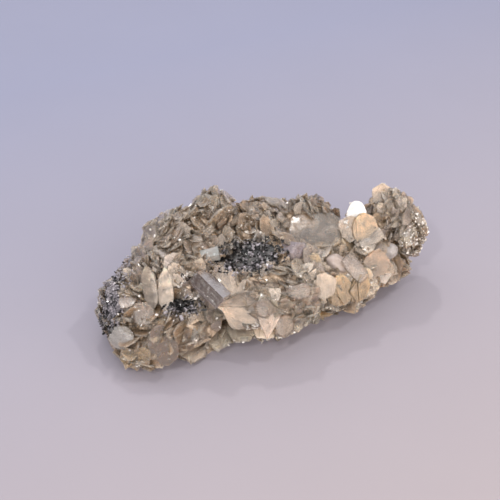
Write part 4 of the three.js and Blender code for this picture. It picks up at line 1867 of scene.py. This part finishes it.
@dataclass
class CrystalPrism:
    """A six-sided crystal in its pocket, a little uneven, with chipped ends."""

    prism: Prism
    material: Material
    slot: str
    seed: int
    twist: float = 0.0
    bevel: float = 0.05
    soften: float = 0.03
    uneven: float = 0.10
    slant: float = 0.12
    sharp: float = 12.0
    is_rounded: bool = False
    rounded_sharp: float = 90.0
    flat_count: int = 14
    flat_reach: float = 0.86
    flat_press: float = 0.7
    flattened: float = 0.85
    worn: float = 0.04
    worn_scale: float = 2.2
    end_stray: float = 0.12
    end_drop: float = 0.4
    end_reach: float = 0.25
    end_angle: float = 1.2
    corner_angle: float = 0.3

    def build(self) -> None:
        """Makes the crystal in place of its node."""
        rng = np.random.default_rng(self.seed)
        mesh = self.rounded_mesh(rng) if self.is_rounded else self.faceted_mesh(rng)
        spin = Matrix.Rotation(math.radians(self.twist), 3, "Z")
        bmesh.ops.rotate(mesh, verts=mesh.verts, cent=(0, 0, 0), matrix=spin)
        bmesh.ops.recalc_face_normals(mesh, faces=mesh.faces)
        half = self.prism.length / 2
        shape = read_shape(mesh, lambda vertex: min(1.0, abs(vertex.co.z) / half))
        bundle = Bundle()
        turn = turned(self.prism.axis, (0, 0, 1))
        bundle.add(shape, turn, np.array(self.prism.at, dtype=float), (1, 1, 1), np.ones(4), self.seed)
        sharp = math.radians(self.rounded_sharp if self.is_rounded else self.sharp)
        piece = bundle.build(self.prism.name + "_crystal", sharp=sharp)
        dress(piece, self.material, self.slot, self.prism.name)

    def rounded_mesh(self, rng: Chance) -> Mesh:
        """Makes a worn lozenge with faint flats in place of the prism's faces.

        Args:
            rng: The source of chance.

        Returns:
            The mesh about its own middle.
        """
        radius, half = self.prism.across / 2, self.prism.length / 2
        mesh = bmesh.new()
        bmesh.ops.create_icosphere(mesh, subdivisions=4, radius=1.0)
        flats = [Vector(unit(rng.normal(size=3))) for _ in range(self.flat_count)]
        for vertex in mesh.verts:
            for flat in flats:
                over = vertex.co.dot(flat) - self.flat_reach
                vertex.co -= flat * max(0.0, over) * self.flat_press
            vertex.co += vertex.co.normalized() * self.worn * noise.noise(vertex.co * self.worn_scale)
        bmesh.ops.scale(mesh, verts=mesh.verts, vec=(radius, self.flattened * radius, half))
        return mesh

    def faceted_mesh(self, rng: Chance) -> Mesh:
        """Makes a prism with uneven flat sides and slanting ends.

        Args:
            rng: The source of chance.

        Returns:
            The mesh about its own middle.
        """
        radius, length = self.prism.across / 2, self.prism.length
        mesh = bmesh.new()
        bmesh.ops.create_cone(mesh, cap_ends=True, segments=6, radius1=radius, radius2=radius, depth=length)
        for side in range(6):
            out = Vector((math.cos(side * SIXTH_TURN), math.sin(side * SIXTH_TURN), 0))
            self.cut(mesh, out * radius * math.cos(math.pi / 6) * (1 - self.uneven * rng.random()), out)
        drop = self.end_drop * self.slant * radius
        for end in (-1, 1):
            lean = Vector((rng.normal(0, self.end_stray), -self.slant, end)).normalized()
            self.cut(mesh, Vector((0, 0, end * (length / 2 - drop))), lean)
        ends = [edge for edge in mesh.edges if self.is_end(edge)]
        bevel_edges(mesh, ends, self.bevel * self.prism.across, 1)
        corners = [edge for edge in mesh.edges if edge.calc_face_angle(0) > self.corner_angle]
        bevel_edges(mesh, corners, self.soften * radius, 1)
        return mesh

    @staticmethod
    def cut(mesh: Mesh, at: Vector, out: Vector) -> None:
        """Cuts a side of the crystal flat and closes the cut.

        Args:
            mesh: The mesh.
            at: A point of the cut.
            out: The way that the cut faces.
        """
        cut_off(mesh, at, out)
        rims = [edge for edge in mesh.edges if edge.is_boundary]
        if rims:
            bmesh.ops.holes_fill(mesh, edges=rims)

    def is_end(self, edge: bmesh.types.BMEdge) -> bool:
        """Tells whether an edge runs round an end of the crystal."""
        is_far = all(abs(vertex.co.z) > self.end_reach * self.prism.length for vertex in edge.verts)
        return is_far and edge.calc_face_angle(0) > self.end_angle


# Black crusts

@dataclass
class SchorlCrust:
    """A ragged patch of small black and grey grains on a dark root, with strays around it."""

    patch: Patch
    stock: SheetStock
    material: Material
    seat: BVHTree
    seed: int
    density: float = 15.0
    spread: float = 1.35
    grey_share: float = 0.25
    fade: Span = (0.0, 1.6)
    grain_length: Span = (0.4, 1.5)
    grain_width: Span = (0.35, 0.9)
    grain_stray: float = 0.8
    grain_rise: float = 0.1
    grain_shade: Span = (0.5, 1.25)
    rim_at: float = 0.85
    rim_ragged: float = 0.7
    rim_scale: float = 0.35
    stray_share: float = 0.15
    clump_gain: float = 1.6
    clump_scale: float = 0.45
    root_radius: float = 0.47
    root_flat: float = 0.55
    dome_height: float = 0.22
    dome_rough: float = 0.12
    dome_scale: float = 0.6
    seat_reach: float = 10.0
    has_node: bool = True

    def build(self) -> None:
        """Makes the crust, in place of its node if it has one."""
        rng = np.random.default_rng(self.seed)
        length, width, _ = self.patch.size
        patch_turn = self.patch.turn()
        out = patch_turn[:, 2]
        middle = np.array(self.patch.at, dtype=float)
        bundle = Bundle()
        if self.has_node:
            bundle.add(self.root(), patch_turn, middle, self.patch.size, self.tint(rng, 0), self.seed)
        for _ in range(round(self.density * length * width)):
            angle, share = rng.uniform(0, FULL_TURN), self.spread * math.sqrt(rng.random())
            x, y = 0.5 * length * share * math.cos(angle), 0.5 * width * share * math.sin(angle)
            rim = self.rim_at + self.rim_ragged * cloud(x, y, 7.0 * self.seed, self.rim_scale)
            if share > rim and rng.random() > self.stray_share:
                continue
            place = middle + patch_turn @ np.array((x, y, 0))
            size = skewed(self.grain_length, 2, rng)
            lean = unit(np.array((0, 0, 1)) + self.grain_stray * rng.normal(size=3))
            turn = patch_turn @ turned(lean, rng.normal(size=3))
            thick = size * rng.uniform(*self.grain_width)
            at = place + out * (self.height(place, out, x, y) + self.grain_rise * size)
            clump = 1 + self.clump_gain * cloud(x, y, 5.0, self.clump_scale)
            clump += self.fade[0] * x / length + self.fade[1] * y / width
            tint = self.tint(rng, self.grey_share * clump)
            grain = self.stock.pick(Stock.NEEDLE, rng)
            bundle.add(grain, turn, at, (thick, thick, size), tint, rng.random())
        nodes = (self.patch.name,) if self.has_node else ()
        dress(bundle.build(self.patch.name + "_crust", FLOOR_GAP), self.material, "schorl", *nodes)

    def height(self, place: Array, out: Array, x: float, y: float) -> float:
        """Finds how high over the middle of the patch a grain sits.

        Args:
            place: Its place in the plane of the patch.
            out: The way out of the patch.
            x: Its place along the patch.
            y: Its place across the patch.

        Returns:
            The height.
        """
        depth = self.patch.size[2]
        left = self.patch.inside(x, y)
        rough = self.dome_rough * depth * cloud(x, y, 3.0, self.dome_scale)
        dome = self.dome_height * depth * math.sqrt(max(0.0, left)) + rough
        start = Vector(place + self.seat_reach * out)
        hit, _, _, gap = self.seat.ray_cast(start, Vector(-out), 2 * self.seat_reach)
        ground = self.seat_reach - gap if hit is not None else -depth
        return max(dome if left > 0 else -depth, ground)

    def root(self) -> Shape:
        """Makes the dark root of the crust, a flattened lump.

        Returns:
            The root, one unit long, wide and deep at most.
        """
        mesh = bmesh.new()
        bmesh.ops.create_icosphere(mesh, subdivisions=3, radius=self.root_radius)
        bmesh.ops.scale(mesh, verts=mesh.verts, vec=(1, 1, self.root_flat))
        return read_shape(mesh, lambda vertex: 0.0)

    def tint(self, rng: Chance, grey_share: float) -> Array:
        """Gives a grain its black or grey, as a linear colour, and its gloss."""
        tone = SchorlFinish.grey if rng.random() < grey_share else SchorlFinish.black
        return np.append(linear(tone) * rng.uniform(*self.grain_shade), rng.random())


# The studio

@dataclass(frozen=True)
class Lamp:
    """A square light: its place and its side in metres, its power in watts and its linear colour."""

    name: str
    at: Point
    size: float
    power: float
    colour: Colour


LAMPS = (
    Lamp("back_light", (-0.10, 0.30, 0.60), 0.80, 1.8, (0.98, 0.97, 1.0)),
    Lamp("front_light", (-0.16, -0.56, 0.32), 0.80, 3.2, (1.0, 0.95, 0.92)),
    Lamp("side_light", (0.42, -0.46, 0.20), 0.50, 1.4, (1.0, 0.84, 0.66)),
    Lamp("low_light", (-0.15, -0.60, 0.20), 0.60, 1.3, (1.0, 0.86, 0.70)),
    Lamp("glint_light_0", (0.30, -0.10, 0.55), 0.03, 0.8, (1.0, 0.98, 0.95)),
    Lamp("glint_light_1", (-0.32, -0.25, 0.50), 0.03, 0.8, (1.0, 0.98, 0.95)),
    Lamp("glint_light_2", (0.08, 0.36, 0.52), 0.03, 0.8, (1.0, 0.98, 0.95)),
)


@dataclass
class Studio:
    """A pale floor, soft light and the camera of the photograph."""

    azimuth: float = -25.0
    elevation: float = 40.0
    distance: float = 292.0
    lens: float = 70.0
    sensor: float = 36.0
    target: Point = (0.0, 0.0, 20.0)
    floor_size: float = 3.0
    floor_drop: float = 0.05
    sky_colour: Colour = (0.95, 0.94, 1.0)
    sky_strength: float = 0.74

    def build(self) -> None:
        """Makes the floor, the lights, the sky and the camera."""
        self.floor()
        for lamp in LAMPS:
            self.hang(lamp)
        self.sky()
        self.camera()

    def floor(self) -> None:
        """Lays the floor just under the specimen."""
        mesh = bmesh.new()
        bmesh.ops.create_grid(mesh, x_segments=1, y_segments=1, size=self.floor_size)
        bmesh.ops.translate(mesh, verts=mesh.verts, vec=(0, 0, -self.floor_drop * MM))
        data = bpy.data.meshes.new("floor")
        mesh.to_mesh(data)
        mesh.free()
        data.materials.append(PaperFinish().material())
        linked("floor", data)

    def aim(self) -> Vector:
        """Gives the point that the camera and the lights look at, in the part's frame."""
        return Vector(to_part(np.array(self.target)))

    def camera(self) -> None:
        """Sets the camera at the photograph's viewing angle."""
        turn, rise = math.radians(self.azimuth), math.radians(self.elevation)
        back = Vector((math.sin(turn) * math.cos(rise), -math.cos(turn) * math.cos(rise), math.sin(rise)))
        data = bpy.data.cameras.new("camera")
        data.lens = self.lens
        data.sensor_width = self.sensor
        data.clip_start = 0.01
        camera = linked("camera", data)
        camera.location = self.aim() + back * self.distance * MM
        camera.rotation_euler = back.to_track_quat("Z", "Y").to_euler()
        bpy.context.scene.camera = camera

    def hang(self, lamp: Lamp) -> None:
        """Hangs one light that looks at the specimen.

        Args:
            lamp: The light.
        """
        data = bpy.data.lights.new(lamp.name, "AREA")
        data.size = lamp.size
        data.energy = lamp.power
        data.color = lamp.colour
        light = linked(lamp.name, data)
        light.location = lamp.at
        light.rotation_euler = (Vector(lamp.at) - self.aim()).to_track_quat("Z", "Y").to_euler()

    def sky(self) -> None:
        """Spreads a pale sky and shows colours as they are."""
        world = bpy.data.worlds.new("sky")
        world.use_nodes = True
        background = world.node_tree.nodes["Background"]
        background.inputs["Color"].default_value = (*self.sky_colour, 1.0)
        background.inputs["Strength"].default_value = self.sky_strength
        bpy.context.scene.world = world
        bpy.context.scene.view_settings.view_transform = "Standard"


def build_mica(stock: SheetStock, effects: SharedEffects) -> BVHTree:
    """Makes the mica cluster with its finishes.

    Args:
        stock: The sheets that it is made of.
        effects: The shared node groups.

    Returns:
        A search tree of what the black grains can sit on.
    """
    sheets = MicaFinish()
    plates = replace(
        sheets, name="mica_plates", edge_share=0.5, rough=(0.26, 0.10), line_shade=(0.92, 1.05),
        relief=replace(sheets.relief, strength=0.16), lean=0.1, clear=0.9,
    )
    # Opaque pale sheets with a strong coat, for the glints and the pearly books: their white is partly
    # painted highlight.
    glints = replace(
        sheets, name="mica_glints", edge_share=0.3, rough=(0.25, 0.05), lean=0.1, clear=0.15, coat=0.8
    )
    materials = [finish.material(effects) for finish in (sheets, plates, glints, GroundFinish())]
    return MicaCluster(stock, *materials).build()


def build_crystals(effects: SharedEffects) -> None:
    """Makes the clear prisms and the white crystal.

    Args:
        effects: The shared node groups.
    """
    violet = BerylFinish(
        "aquamarine_violet", (0.29, 0.23, 0.215), (0.35, 0.29, 0.28), (0.78, 0.74, 0.77), clear=0.5
    )
    teal = BerylFinish("aquamarine_teal", (0.90, 0.93, 0.92), (0.96, 0.94, 0.92), (0.86, 0.96, 0.94))
    lilac = BerylFinish("aquamarine_lilac", (0.84, 0.80, 0.84), (0.92, 0.88, 0.88), (0.90, 0.87, 0.94))
    pale = BerylFinish(
        "aquamarine_pale", (0.78, 0.755, 0.745), (0.86, 0.83, 0.82), (0.97, 0.98, 1.0), clear=0.4,
        density=20.0,
    )
    CrystalPrism(MAIN_PRISM, violet.material(effects), "aquamarine", 1, twist=12, slant=0.4).build()
    CrystalPrism(TEAL_PRISM, teal.material(effects), "aquamarine", 2).build()
    CrystalPrism(RIGHT_PRISM, lilac.material(effects), "aquamarine", 3).build()
    CrystalPrism(LOBE_PRISM, pale.material(effects), "aquamarine", 4, is_rounded=True).build()
    CrystalPrism(WHITE_PRISM, MilkyFinish().material(effects), "quartz", 5, is_rounded=True).build()


def build_crusts(stock: SheetStock, effects: SharedEffects, tree: BVHTree) -> None:
    """Makes the black crusts and the specks near them.

    Args:
        stock: The grains that they are made of.
        effects: The shared node groups.
        tree: The search tree of what the grains sit on.
    """
    common = (stock, SchorlFinish().material(effects), tree)
    left_end = {"density": 22.0, "grey_share": 0.62, "fade": (2.0, 0.0), "grain_length": (0.3, 1.1)}
    specks = {"density": 4.0, "grain_length": (0.3, 1.0), "has_node": False}
    SchorlCrust(CENTRE_PATCH, *common, 0).build()
    SchorlCrust(LEFT_PATCH, *common, 1, **left_end).build()
    SchorlCrust(SEAM_PATCH, *common, 2, grey_share=0.2).build()
    for seed, (patch, grey) in enumerate(zip(SPECKS, (0.4, 0.85)), 3):
        SchorlCrust(patch, *common, seed, grey_share=grey, **specks).build()


def main() -> None:
    """Builds the specimen piece by piece and sets it in the studio."""
    logging.basicConfig(level=logging.INFO, format="%(name)s %(message)s")
    effects = SharedEffects()
    stock = SheetStock()
    stock.fill()
    tree = build_mica(stock, effects)
    build_crystals(effects)
    build_crusts(stock, effects, tree)
    Studio().build()


if __name__ == "__main__":
    main()
